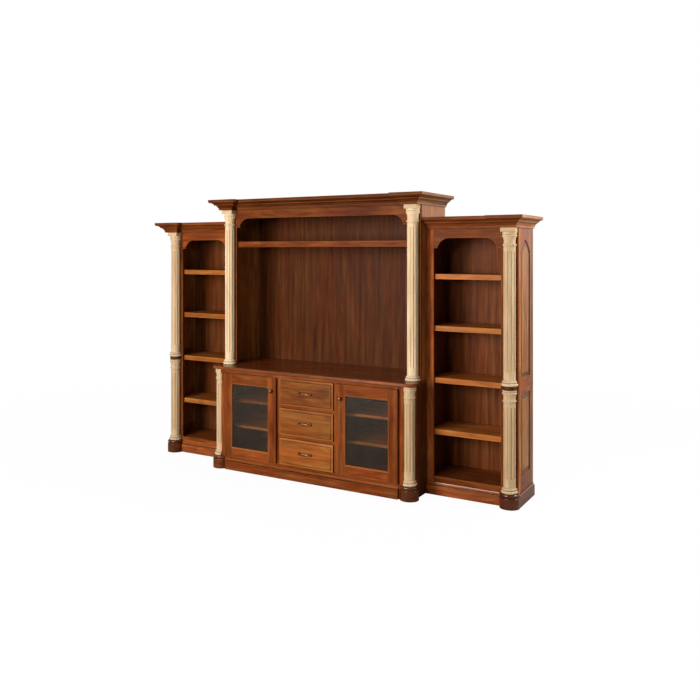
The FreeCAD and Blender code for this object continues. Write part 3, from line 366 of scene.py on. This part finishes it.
def tone_of(node, centre, lot):
    """The tone of one board, by its node and the place of its middle. Tones set by place are painted light
    and shade; the rest vary at random within a node's range.
    """
    if node == "pier_side_frames":
        if centre.y < SIDE_RAILS[0]:
            return SIDE_TONES["front stile"]
        if centre.y > SIDE_RAILS[1]:
            return SIDE_TONES["back stile"]
        return SIDE_TONES["low rail" if centre.z < SIDE_LOW else "high rail"]
    if node in LEFT_RIGHT:
        limit, left, right = LEFT_RIGHT[node]
        return left if centre.x < limit else right
    if is_crown_end(node, centre):
        return CROWN_ENDS[node][1]
    if "door_frame" in node and centre.z < DOOR_LOW:
        return DOOR_LOW_TONE
    if node == "pier_plinths":
        return PLINTH_SIDE_TONE if abs(centre.x) > PLINTH_OUTER else PLINTH_FRONT_TONE
    return lot.uniform(*TONES.get(node, USUAL_TONES))


def has_painted_sheen(node, centre):
    """Whether a board gets the painted sheen, a paler and more brown stain: the stiles of the pier sides,
    and the crowns' returns.
    """
    if node == "pier_side_frames":
        return not SIDE_RAILS[0] < centre.y < SIDE_RAILS[1]
    return is_crown_end(node, centre)


# Pieces made from the CAD solids

# Angles up to which faces are one, beyond which an edge is eased, and beyond which it shows as a crease
FLAT_ANGLE, EASED_ANGLE, CREASE_ANGLE = (math.radians(angle) for angle in (1, 28, 32))
# A face is slanted where its normal has less than this along every axis
SQUARE = 0.985
EASE = 1.5 * MM
# Edges this short are taken out
SLIVER = 5 * MICRON
# How far apart in the wood pieces may be cut, in metres
LOG = 20
# Axes in the order along and across the grain of an upright board
UPRIGHT = (2, 0, 1)
# How much deeper than wide a piece is that runs from front to back
SIDEWAYS = 2.5


def solids_of(node):
    """The node's closed solids as (points, triangles). Its mesh keeps each CAD face apart and in order, so
    faces are gathered until every edge has its partner."""
    mesh = NODES[node].data
    keys = [tuple(round(c * PER_METRE) for c in vertex.co) for vertex in mesh.vertices]
    found, points, triangles, open_edges = [], {}, [], set()
    for polygon in mesh.polygons:
        corners = [keys[index] for index in polygon.vertices]
        if len(set(corners)) < 3:
            continue
        triangles.append([points.setdefault(corner, len(points)) for corner in corners])
        for start, end in zip(corners, corners[1:] + corners[:1]):
            open_edges ^= {(min(start, end), max(start, end))}
        if not open_edges:
            found.append(([Vector(point) * MICRON for point in points], triangles))
            points, triangles = {}, []
    return found


def lay_grain(bm, lot, node):
    """Coordinates with the first along the piece's longest side, or upright for a back, moved to a place
    of its own in the wood. Pieces that run from front to back are polished more."""
    grain = bm.verts.layers.float_vector.new("grain")
    polish = bm.verts.layers.float.new("polish")
    toned = "tone" in bm.verts.layers.float
    tone = bm.verts.layers.float["tone"] if toned else bm.verts.layers.float.new("tone")
    low = Vector([min(point.co[i] for point in bm.verts) for i in range(3)])
    size = Vector([max(point.co[i] for point in bm.verts) for i in range(3)]) - low
    centre = low + size / 2
    order = UPRIGHT if "_back" in node else sorted(range(3), key=lambda i: -size[i])
    shift = Vector([lot.uniform(0, LOG) for _ in range(3)])
    shade = tone_of(node, centre, lot)
    # Boards with the painted sheen take the second material
    if has_painted_sheen(node, centre):
        for face in bm.faces:
            face.material_index = 1
    sideways = float(size.y > SIDEWAYS * size.x)
    for point in bm.verts:
        point[polish] = sideways
        point[grain] = Vector([point.co[i] for i in order]) + shift
        if not toned:
            point[tone] = shade


def settle(node, parts, material=None):
    """One object from the parts, with the material, body and slot of the CAD node that it stands for."""
    name = node + "_finish"
    lot = random.Random(name)
    total = bmesh.new()
    for bm in parts:
        lay_grain(bm, lot, node)
        for face in bm.faces:
            face.smooth = True
        for edge in bm.edges:
            edge.smooth = not (edge.is_manifold and edge.calc_face_angle() > CREASE_ANGLE)
        part = bpy.data.meshes.new("part")
        bm.to_mesh(part)
        bm.free()
        total.from_mesh(part)
        bpy.data.meshes.remove(part)
    mesh = bpy.data.meshes.new(name)
    total.to_mesh(mesh)
    total.free()
    mesh.materials.append(material or FINISH[SLOT_OF[node]])
    # The painted sheen stain as a second material, where a board takes it
    if any(polygon.material_index for polygon in mesh.polygons):
        mesh.materials.append(PAINTED_SHEEN)
    piece = bpy.data.objects.new(name, mesh)
    bpy.context.collection.objects.link(piece)
    piece.modifiers.new("even_shading", "WEIGHTED_NORMAL").keep_sharp = True
    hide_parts(node)
    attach(piece, BODY_OF[node])


def blank():
    """An empty mesh, and the values of its faces that stain follows."""
    bm = bmesh.new()
    bm.verts.layers.float.new("hollow")
    return bm, {name: bm.faces.layers.float.new(name) for name in ("glazed", "rubbed")}


def eased(points, faces, ease=EASE, slopes=None, fillets=0):
    """A solid with its sharp edges rounded over, and the rounds worn lighter: real wear and a painted
    highlight. slopes is the value that its slanted faces get and how much: glaze that darkens them as
    painted shade, and rub that lightens them as a painted highlight. Faces narrower than fillets get full
    glaze: painted shade lines at the steps of a moulding."""
    bm, values = blank()
    made = [bm.verts.new(point) for point in points]
    for face in faces:
        bm.faces.new([made[index] for index in face])
    bmesh.ops.dissolve_limit(bm, angle_limit=FLAT_ANGLE, verts=bm.verts, edges=bm.edges)
    bm.normal_update()
    for face in bm.faces:
        if max(abs(c) for c in face.normal) < SQUARE:
            if slopes:
                value, share = slopes
                face[values[value]] = share
        elif fillets and 2 * face.calc_area() / face.calc_perimeter() < fillets:
            face[values["glazed"]] = 1
    sharp = [edge for edge in bm.edges if edge.is_manifold and edge.calc_face_angle() > EASED_ANGLE]
    done = bmesh.ops.bevel(
        bm, geom=sharp, offset=ease, segments=2, profile=0.5, affect="EDGES", clamp_overlap=True)
    # The rounds are worn lighter: real wear and a painted highlight
    for face in done["faces"]:
        face[values["glazed"]] = 0
        face[values["rubbed"]] = 1
    bmesh.ops.dissolve_degenerate(bm, dist=SLIVER, edges=bm.edges)
    return bm


def boards(node, material=None, ease=EASE, slopes=None, fillets=0):
    """Every solid of a node with eased edges, grain along its length and a tone of its own."""
    settle(node, [eased(*solid, ease, slopes, fillets) for solid in solids_of(node)], material)


def prism(outline, low, high):
    """An upright prism over an outline that runs counter-clockwise, as (points, faces)."""
    count = len(outline)
    points = [Vector((*corner, z)) for z in (low, high) for corner in outline]
    sides = [(k, (k + 1) % count, (k + 1) % count + count, k + count) for k in range(count)]
    return points, [tuple(reversed(range(count))), tuple(range(count, 2 * count)), *sides]


def raised_front(half, back, low, high, rings):
    """A front with a raised field: rings of (inset, thickness, value, share) from its back to the field."""
    bm, values = blank()
    rows = []
    for inset, thick, _, _ in rings:
        corners = ((-1, low + inset), (1, low + inset), (1, high - inset), (-1, high - inset))
        rows.append([bm.verts.new(((half - inset) * side, back - thick, z)) for side, z in corners])
    bm.faces.new(reversed(rows[0]))
    bm.faces.new(rows[-1])
    for one, two, (_, _, value, share) in zip(rows, rows[1:], rings[1:]):
        for k in range(4):
            face = bm.faces.new([one[k - 1], one[k], two[k], two[k - 1]])
            face[values[value]] = share
    return bm


# Turned pieces

# Depth of a groove that is full of glaze, and how many times lower a ridge is that is a full crest
GROOVE_DEPTH, CREST_GAIN = 1.5 * MM, 4
# Depth of a flute, and how full of glaze it is there
FLUTE_DEPTH, FLUTE_GLAZE = 3.4 * MM, 0.6


def curve(points, step=8):
    """(radius, height) points, with an arc before a point that has a bulge: the tangent of a quarter of
    the arc's angle."""
    out = [points[0][:2]]
    for x1, y1, *arc in points[1:]:
        x0, y0 = out[-1]
        if arc:
            bulge = arc[0]
            sweep = 4 * math.atan(bulge)
            tall = (1 / bulge - bulge) / 4
            centre = ((x0 + x1) / 2 - (y1 - y0) * tall, (y0 + y1) / 2 + (x1 - x0) * tall)
            dx, dy = x0 - centre[0], y0 - centre[1]
            for k in range(1, step):
                turn = sweep * k / step
                out.append((centre[0] + dx * math.cos(turn) - dy * math.sin(turn),
                            centre[1] + dx * math.sin(turn) + dy * math.cos(turn)))
        out.append((x1, y1))
    return out


def profile_mm(*points):
    """A curve from points in millimetres."""
    return curve([(x * MM, y * MM, *arc) for x, y, *arc in points])


def turning(profile, segments=96, cut=None):
    """A solid of revolution about Z. cut gives the radius at (radius, height, angle), for flutes. A closed
    profile starts and ends on the axis."""
    bm = bmesh.new()
    hollow = bm.verts.layers.float.new("hollow")
    crest = bm.verts.layers.float.new("crest")
    last = len(profile) - 1
    rows = []
    for index, (radius, height) in enumerate(profile):
        if radius < MICRON:
            rows.append([bm.verts.new((0, 0, height))])
            continue
        dip = 0
        if 0 < index < last:
            before, after = profile[index - 1][0], profile[index + 1][0]
            dip = ((before + after) / 2 - radius) / GROOVE_DEPTH
        groove = min(max(dip, 0), 1)
        row = []
        for k in range(segments):
            angle = 2 * math.pi * k / segments
            r = cut(radius, height, angle) if cut else radius
            point = bm.verts.new((r * math.sin(angle), -r * math.cos(angle), height))
            point[hollow] = min(groove + FLUTE_GLAZE * (radius - r) / FLUTE_DEPTH, 1)
            # Ridges get a crest value, which the paint shows as a painted highlight
            point[crest] = min(max(-CREST_GAIN * dip, 0), 1)
            row.append(point)
        rows.append(row)
    for low, high in zip(rows, rows[1:]):
        for k in range(segments):
            n = (k + 1) % segments
            corners = [low[k % len(low)], low[n % len(low)], high[n % len(high)], high[k % len(high)]]
            bm.faces.new([c for i, c in enumerate(corners) if c not in corners[:i]])
    return bm


def flat(bm, place, outward):
    """Cuts away what lies beyond a plane and closes the cut."""
    geometry = bm.verts[:] + bm.edges[:] + bm.faces[:]
    bmesh.ops.bisect_plane(
        bm, geom=geometry, dist=MICRON, plane_co=place, plane_no=outward, clear_outer=True)
    bmesh.ops.holes_fill(bm, edges=[edge for edge in bm.edges if edge.is_boundary], sides=0)


def moved(bm, x, y, z):
    """The mesh itself, moved."""
    bmesh.ops.translate(bm, verts=bm.verts, vec=(x, y, z))
    return bm


# Radius of a column's shaft
SHAFT_MM = 41
SHAFT = SHAFT_MM * MM
# Number of flutes, the radius of their round bottoms, and how far from the column's axis those are centred
FLUTES, FLUTE, FLUTE_OUT = 10, 8 * MM, 45.6 * MM
# Where flutes start above the column's foot and end below its collar
FLUTE_START, FLUTE_END = 94 * MM, 37 * MM
# Steps in the round end of a flute
FLUTE_STEPS = 6
COLUMN_SEGMENTS = 16 * FLUTES
# Collars shorter than this have a wider bell
SHORT_COLLAR, SHORT_BELL = 80 * MM, 42.5 * MM


def fluted(low, top, collar, shade):
    """A column from low to top with a fluted shaft, a moulded foot, a collar at the given drop, bell and
    rings. shade is how light its paint is, from 0 to 1."""
    high = top - low
    middle = high - collar
    start, end = FLUTE_START, middle - FLUTE_END
    ends = [k * FLUTE / FLUTE_STEPS for k in range(FLUTE_STEPS + 1)]
    bell = SHORT_BELL if collar < SHORT_COLLAR else SHAFT
    ring_low, ring_high = high - collar * 3 / 8, high - collar * 3 / 16
    profile = profile_mm(
        (0, 0), (48, 0), (48, 19, 0.9), (44, 20.5), (44, 22.5), (45, 23), (45, 35, 0.8), (42.5, 36),
        (SHAFT_MM, 46, -0.3))
    profile += [(SHAFT, start + e) for e in ends] + [(SHAFT, end - e) for e in reversed(ends)]
    profile += curve([
        (SHAFT, middle - 7 * MM), (42 * MM, middle - 6 * MM), (42 * MM, middle + 5 * MM, 0.95),
        (bell, middle + 6 * MM), (45 * MM, ring_low - 1 * MM, -0.14), (46 * MM, ring_low),
        (46 * MM, ring_high - 1 * MM, 0.6), (44.5 * MM, ring_high), (46.5 * MM, ring_high + 1 * MM),
        (48.5 * MM, high - 2 * MM, 0.2), (48.5 * MM, high), (0, high),
    ])
    half_step = math.pi / FLUTES

    def groove(radius, height, angle):
        if abs(radius - SHAFT) > MICRON or not start <= height <= end:
            return radius
        into = max(FLUTE - (height - start), FLUTE - (end - height), 0)
        round_end = FLUTE * FLUTE - into * into
        turn = (angle + half_step) % (2 * half_step) - half_step
        side = FLUTE_OUT * math.sin(turn)
        if round_end <= side * side:
            return radius
        return min(radius, FLUTE_OUT * math.cos(turn) - math.sqrt(round_end - side * side))

    bm = moved(turning(profile, COLUMN_SEGMENTS, groove), 0, 0, low)
    tone = bm.verts.layers.float.new("tone")
    for point in bm.verts:
        point[tone] = shade
    return bm


# Thickness of a square cap and the rounding of its edges; every solid below the limit is a cap
CAP_THICK, CAP_EASE, CAP_LIMIT = 30 * MM, 2.5 * MM, 60 * MM


def caps(node):
    """The square caps among a node's solids."""
    found = []
    for points, triangles in solids_of(node):
        heights = [point.z for point in points]
        if max(heights) - min(heights) < CAP_LIMIT:
            found.append(eased(points, triangles, CAP_EASE))
    return found


def seated(make, axis, side, *bands):
    """A turned piece at an axis on one side, kept to bands of (front, behind, inner): planes in front of,
    behind and beside it, measured from the axis, with None where it isn't cut. More bands make a piece that
    wraps a corner."""
    x, y = axis
    found = []
    for front, behind, inner in bands:
        bm = make()
        if front is not None:
            flat(bm, (0, front, 0), (0, -1, 0))
        if behind is not None:
            flat(bm, (0, behind, 0), (0, 1, 0))
        if inner is not None:
            flat(bm, (inner * side, 0, 0), (-side, 0, 0))
        found.append(moved(bm, x * side, y, 0))
    return found


# Columns against a face: how far ahead of it their axis is, and how far inside the cabinet's outer side
AHEAD, INSET = 16 * MM, 54 * MM
# Corner columns of the console: how far inside its outer side and behind its face their axis is, and how
# far behind the axis and beside it their seat in the corner is
CORNER_INSET, CORNER_BEHIND, SEAT = 40 * MM, 33 * MM, 25 * MM


def axis_of(node, inset, ahead):
    """(x, y) of the right column in front of a node that reaches to the cabinet's outer side."""
    low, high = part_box(node)
    return high.x - inset, low.y - ahead


PIER = axis_of("right_pier_face_frame", INSET, AHEAD)
HUTCH = axis_of("hutch_face_frame", INSET, AHEAD)
CONSOLE = axis_of("console_sides", CORNER_INSET, SEAT)
# Bands of those columns, and of the base blocks below them
AGAINST = (None, AHEAD, None)
CORNER = (None, SEAT, -SEAT)
PIER_BLOCK = (AGAINST, (AHEAD, None, INSET))
CONSOLE_BLOCK = (
    (None, -CORNER_BEHIND, None),
    (-CORNER_BEHIND, SEAT, -SEAT),
    (SEAT, None, CORNER_INSET),
)
# Drops of the collars below the tops of lower and upper columns
LOWER_COLLAR, UPPER_COLLAR = 74 * MM, 88 * MM
# Heights where blocks, necks, rings and columns start and end
BLOCK_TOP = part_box("base_blocks")[1].z
NECK_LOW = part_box("column_rings")[0].z
RING_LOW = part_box("console_top")[0].z
RING_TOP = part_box("column_rings")[1].z
PIER_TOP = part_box("right_pier_columns")[1].z - CAP_THICK
HUTCH_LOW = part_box("hutch_columns")[0].z
HUTCH_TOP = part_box("hutch_columns")[1].z - CAP_THICK
# How far inside the axis of a console column the bottom board is notched
NOTCH_IN = 45 * MM


def column(axis, side, low, top, collar, shade, band=AGAINST):
    """A fluted column at an axis on one side, cut to its seat."""
    return seated(lambda: fluted(low, top, collar, shade), axis, side, band)


def build_columns():
    """Pier columns below and above their rings, hutch columns, and the console's corner columns."""
    for name, side in SIDES:
        node = f"{name}_pier_columns"
        lower = column(PIER, side, BLOCK_TOP, RING_LOW, LOWER_COLLAR, shade=0.25)
        upper = column(PIER, side, RING_TOP, PIER_TOP, UPPER_COLLAR, shade=0.5)
        settle(node, caps(node) + lower + upper)
    hutch, console = caps("hutch_columns"), []
    for _, side in SIDES:
        hutch += column(HUTCH, side, HUTCH_LOW, HUTCH_TOP, UPPER_COLLAR, shade=0.93)
        console += column(CONSOLE, side, BLOCK_TOP, NECK_LOW, LOWER_COLLAR, shade=0.35, band=CORNER)
    settle("hutch_columns", hutch)
    settle("console_columns", console)


def build_bottom():
    """The console's bottom, which runs on between the corner posts to the back of the face frame."""
    low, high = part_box("console_bottom")
    face_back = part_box("console_partitions")[0].y
    between = CONSOLE[0] - NOTCH_IN
    right = [(between, face_back), (between, low.y), (high.x, low.y), (high.x, high.y)]
    left = [(-x, y) for x, y in reversed(right)]
    settle("console_bottom", [eased(*prism(left + right, low.z, high.z))])


def base_block():
    """A round block with a rounded cap ring."""
    return turning(profile_mm(
        (0, 0), (66, 0), (68, 2, 0.41), (68, 71), (65.5, 75, 0.41), (61, 76.5), (61, 79), (62, 80),
        (62, 100, 0.5), (56, 101), (0, 101)))


def build_turnings():
    """The rings between the pier columns, the necks under the console's top, and the base blocks."""
    ring = curve([
        (0, RING_LOW), (44 * MM, RING_LOW), (46 * MM, RING_LOW + 3 * MM),
        (46 * MM, RING_TOP - 3 * MM, 0.3), (44 * MM, RING_TOP), (0, RING_TOP),
    ])
    neck = curve([(0, NECK_LOW), (42 * MM, NECK_LOW), (42 * MM, RING_LOW, 0.5), (0, RING_LOW)])
    rings, blocks = [], []
    for _, side in SIDES:
        rings += seated(lambda: turning(ring), PIER, side, AGAINST)
        rings += seated(lambda: turning(neck), CONSOLE, side, CORNER)
        blocks += seated(base_block, PIER, side, *PIER_BLOCK)
        blocks += seated(base_block, CONSOLE, side, *CONSOLE_BLOCK)
    settle("column_rings", rings, SATIN)
    settle("base_blocks", blocks)


# Door knobs, drawer fronts and pulls

DRAWERS = ("bottom", "middle", "top")
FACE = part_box("top_drawer_front")[0].y
KNOB_SEGMENTS, POST_SEGMENTS, ROD_SIDES = 48, 40, 14
# Pulls: x of the posts, distance of the bail in front of the drawer, and drop and bow of its low bar
POST_X = 48
BAIL_AHEAD = 11 * MM
BAR_DROP, BAR_BOW = 10.5, 3.5
# A bail's thin radius, what its middle adds to that, the x where this starts, and the most depth of the rod
BAIL_THIN, BAIL_THICKER, SWELLING, BAIL_DEEPEST = 2.8, 8, 46 * MM, 5 * MM


def middle_of(node):
    """The middle of a CAD node's box."""
    low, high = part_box(node)
    return (low + high) / 2


def forward(bm, x, y, z):
    """A turned piece laid so that its axis points out of the front."""
    bmesh.ops.rotate(bm, verts=bm.verts, cent=(0, 0, 0), matrix=Matrix.Rotation(math.radians(90), 3, "X"))
    return moved(bm, x, y, z)


def build_knobs():
    """Round knobs on a waisted neck, one on each door."""
    head = profile_mm(
        (0, 0), (9, 0), (9, 2), (6.5, 4, -0.3), (5.5, 9), (7, 14, -0.2), (13, 17), (15, 21, 0.35),
        (11, 28, 0.3), (4, 30, 0.15), (0, 30))
    for name, _ in SIDES:
        node = f"{name}_door_knob"
        place = middle_of(node)
        settle(node, [forward(turning(head, KNOB_SEGMENTS), place.x, FACE, place.z)])


def build_fronts():
    """Drawer fronts: a flat lip and a field edge worn lighter as a painted highlight, a cove whose steep
    part is darkened with glaze as painted shade, and a raised field.
    """
    rings = [
        (0, 0, "rubbed", 0),
        (0, 9.5, "rubbed", 0),
        (1.5, 11, "rubbed", 1),
        (9, 11, "rubbed", 0.3),
        (13, 11.6, "glazed", 0.2),
        (16.5, 13.2, "glazed", 0.35),
        (19, 15.8, "glazed", 0.5),
        (20.5, 18.8, "glazed", 0.6),
        (22, 20, "rubbed", 0.8),
    ]
    rings = [(inset * MM, thick * MM, value, share) for inset, thick, value, share in rings]
    for name in DRAWERS:
        node = f"{name}_drawer_front"
        low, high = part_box(node)
        settle(node, [raised_front(high.x, high.y, low.z, high.z, rings)], GOLDEN)


def swept(path, radius):
    """A rod along a path of points, flattened where it is thick; radius gives its half height at a point."""
    bm = bmesh.new()
    bm.verts.layers.float.new("hollow")
    turns = [2 * math.pi * k / ROD_SIDES for k in range(ROD_SIDES)]
    rings = []
    for index, point in enumerate(path):
        ahead = path[min(index + 1, len(path) - 1)] - path[max(index - 1, 0)]
        across = ahead.cross(Vector((0, 1, 0))).normalized()
        r = radius(point)
        deep = min(r, BAIL_DEEPEST)
        rings.append([
            bm.verts.new(point + across * (r * math.cos(a)) + Vector((0, deep * math.sin(a), 0)))
            for a in turns])
    for one, two in zip(rings, rings[1:]):
        for k in range(ROD_SIDES):
            bm.faces.new([one[k], one[k - 1], two[k - 1], two[k]])
    bm.faces.new(rings[0])
    bm.faces.new(reversed(rings[-1]))
    return bm


def bail_loop():
    """(x, z) of a hanging bail in millimetres, from one post around to the other."""
    half = curve([(42, 0), (52, 0), (57, -5, -0.41), (57, -6), (49, -14, -0.41)], 10)
    half += [(x, -BAR_DROP - BAR_BOW * (x / POST_X) ** 2) for x in range(44, -1, -4)]
    return half + [(-x, z) for x, z in reversed(half[:-1])]


def bail_radius(point):
    """Half the height of a bail's rod: thin at its ends, with a thick middle."""
    inward = max(1 - (point.x / SWELLING) ** 2, 0)
    return (BAIL_THIN + BAIL_THICKER * inward ** 1.5) * MM


def build_pulls():
    """Bails that hang from two posts, each post with a round rosette."""
    post = profile_mm(
        (0, 0), (8.5, 0), (8.5, 1.5, 0.3), (7, 3, 0.3), (5.2, 5, -0.3), (5, 14), (2.5, 17, 0.4), (0, 17))
    for name in DRAWERS:
        posts = f"{name}_drawer_pull_posts"
        pivot = middle_of(posts).z
        settle(posts, [
            forward(turning(post, POST_SEGMENTS), x * MM, FACE, pivot) for x in (-POST_X, POST_X)])
        path = [Vector((x * MM, FACE - BAIL_AHEAD, pivot + z * MM)) for x, z in bail_loop()]
        settle(f"{name}_drawer_bail", [swept(path, bail_radius)])


# Nodes with pieces of their own shape
SHAPED = {
    "console_bottom", "console_columns", "hutch_columns", "column_rings", "base_blocks",
    *[f"{name}_{piece}" for name, _ in SIDES for piece in ("pier_columns", "door_knob")],
    *[f"{name}_drawer_{piece}" for name in DRAWERS for piece in ("front", "bail", "pull_posts")],
}
# Boards that differ from the rest: material, eased edge, value of slanted faces, and width of fillets that
# get full glaze. Glaze on crowns and side panels is painted shade, rub on door frames and plinths is a
# painted highlight, and the side stain is painted sheen
SHELF = (GOLDEN, 2.5 * MM)
MOULDED = (CHERRY, 0.8 * MM, ("glazed", 0.3), 5 * MM)
BASE = (POLISHED, 0.8 * MM, ("rubbed", 0.5), 5 * MM)
BEVELLED = (CHERRY, EASE, ("rubbed", 1.0))
FINER = {
    "left_pier_shelves": SHELF, "right_pier_shelves": SHELF, "console_shelves": (GOLDEN,),
    "hinge_brackets": (BRONZE,), "left_door_hinge_plates": (BRONZE,), "right_door_hinge_plates": (BRONZE,),
    "left_door_frame": BEVELLED, "right_door_frame": BEVELLED, "console_top": (POLISHED,),
    "hutch_sides": (PAINTED_SHEEN,), "pier_side_panels": (PAINTED_SHEEN, EASE, ("glazed", 0.8)),
    "pier_backs": (VENEER,), "hutch_back": (VENEER,), "console_back": (VENEER,),
    "left_pier_crown": MOULDED, "right_pier_crown": MOULDED, "hutch_crown": MOULDED,
    "console_plinth": (CHERRY, *BASE[1:]), "pier_plinths": BASE,
}
for name in NODES:
    if name not in SHAPED:
        boards(name, *FINER.get(name, ()))
build_bottom()
build_columns()
build_turnings()
build_knobs()
build_fronts()
build_pulls()


# Stage, light and camera

FLOOR_SIZE = 60
# What the floor throws back
FLOOR_BOUNCE = (0.4, 0.38, 0.36)
# Distances between which the floor fades to plain white, and how white it is there
FLOOR_FADE = (2.0, 6.0, 0.97, 1.0)
# Depths of the direction between which the surrounding light grows, and how bright it is there
SURROUND = (-0.2, 0.5, 0.12, 1.0)


def studio_floor():
    """A pale floor that shows as white but keeps the shadow. It throws little light back up."""
    bpy.ops.mesh.primitive_plane_add(size=FLOOR_SIZE)
    floor = bpy.context.object
    floor.name = "studio_floor"
    g = Surface("studio_floor", Roughness=0.9, Specular_IOR_Level=0.0)
    place, seen = g.place(), g.seen()
    pale = g.ramp(g.noise(place, 4), (0.3, 0.80), (0.7, 0.82))
    g.colour(g.mix("MIX", seen, FLOOR_BOUNCE, pale))
    away = g.add("ShaderNodeVectorMath", {"operation": "LENGTH"}, _0=place).outputs["Value"]
    share = g.maths("MULTIPLY", seen, g.remap(away, *FLOOR_FADE))
    white = g.add("ShaderNodeEmission", Color=WHITE, Strength=1.0)
    blend = g.add("ShaderNodeMixShader", _0=share, _1=g.shader.outputs[0], _2=white.outputs[0])
    g.feed(g.tree.nodes["Material Output"].inputs["Surface"], blend.outputs[0])
    floor.data.materials.append(g.material)


def studio_world():
    """A world that is dim in front of the unit, bright behind it, and white where the camera sees it."""
    world = bpy.data.worlds.new("studio")
    bpy.context.scene.world = world
    world.use_nodes = True
    g = Nodes(world.node_tree)
    background = g.tree.nodes["Background"]
    background.inputs["Color"].default_value = WHITE
    way = g.add("ShaderNodeTexCoord").outputs["Generated"]
    depth = g.add("ShaderNodeSeparateXYZ", _0=way).outputs["Y"]
    g.feed(background.inputs["Strength"], g.maths("MAXIMUM", g.remap(depth, *SURROUND), g.seen()))


def lamp(name, place, target, size, power):
    """A rectangular lamp that faces a target."""
    light = bpy.data.lights.new(name, "AREA")
    light.shape = "RECTANGLE"
    light.size, light.size_y = size
    light.energy = power
    lit = bpy.data.objects.new(name, light)
    lit.location = place
    lit.rotation_euler = (Vector(target) - Vector(place)).to_track_quat("-Z", "Y").to_euler()
    bpy.context.collection.objects.link(lit)


def photo_camera():
    """A level camera fitted to measured points of the photograph, whose frame is 700 by 700 pixels."""
    frame_px, focal_px, centre_x, centre_y = 700, 796.656, 310.471, 250.709
    place, heading = (3.12841, -5.34392, 1.73638), math.radians(31.385)
    camera = bpy.data.cameras.new("photo_camera")
    camera.sensor_width = 36
    camera.lens = focal_px / frame_px * camera.sensor_width
    camera.shift_x = (frame_px / 2 - centre_x) / frame_px
    camera.shift_y = (centre_y - frame_px / 2) / frame_px
    camera.clip_end = 100
    seen = bpy.data.objects.new("photo_camera", camera)
    seen.location = place
    seen.rotation_euler = (math.radians(90), 0, heading)
    bpy.context.collection.objects.link(seen)
    bpy.context.scene.camera = seen


studio_floor()
studio_world()
lamp("key", place=(-1.6, -6.0, 2.1), target=(0.2, 0, 1.1), size=(2.2, 2.8), power=425)
lamp("side", place=(4.2, 1.0, 2.6), target=(1.5, 0, 1.7), size=(1.6, 1.6), power=130)
lamp("spark", place=(0.7, -5.0, 2.2), target=(0.7, 0, 0.8), size=(0.8, 0.8), power=50)
photo_camera()
bpy.context.scene.view_settings.view_transform = "Standard"
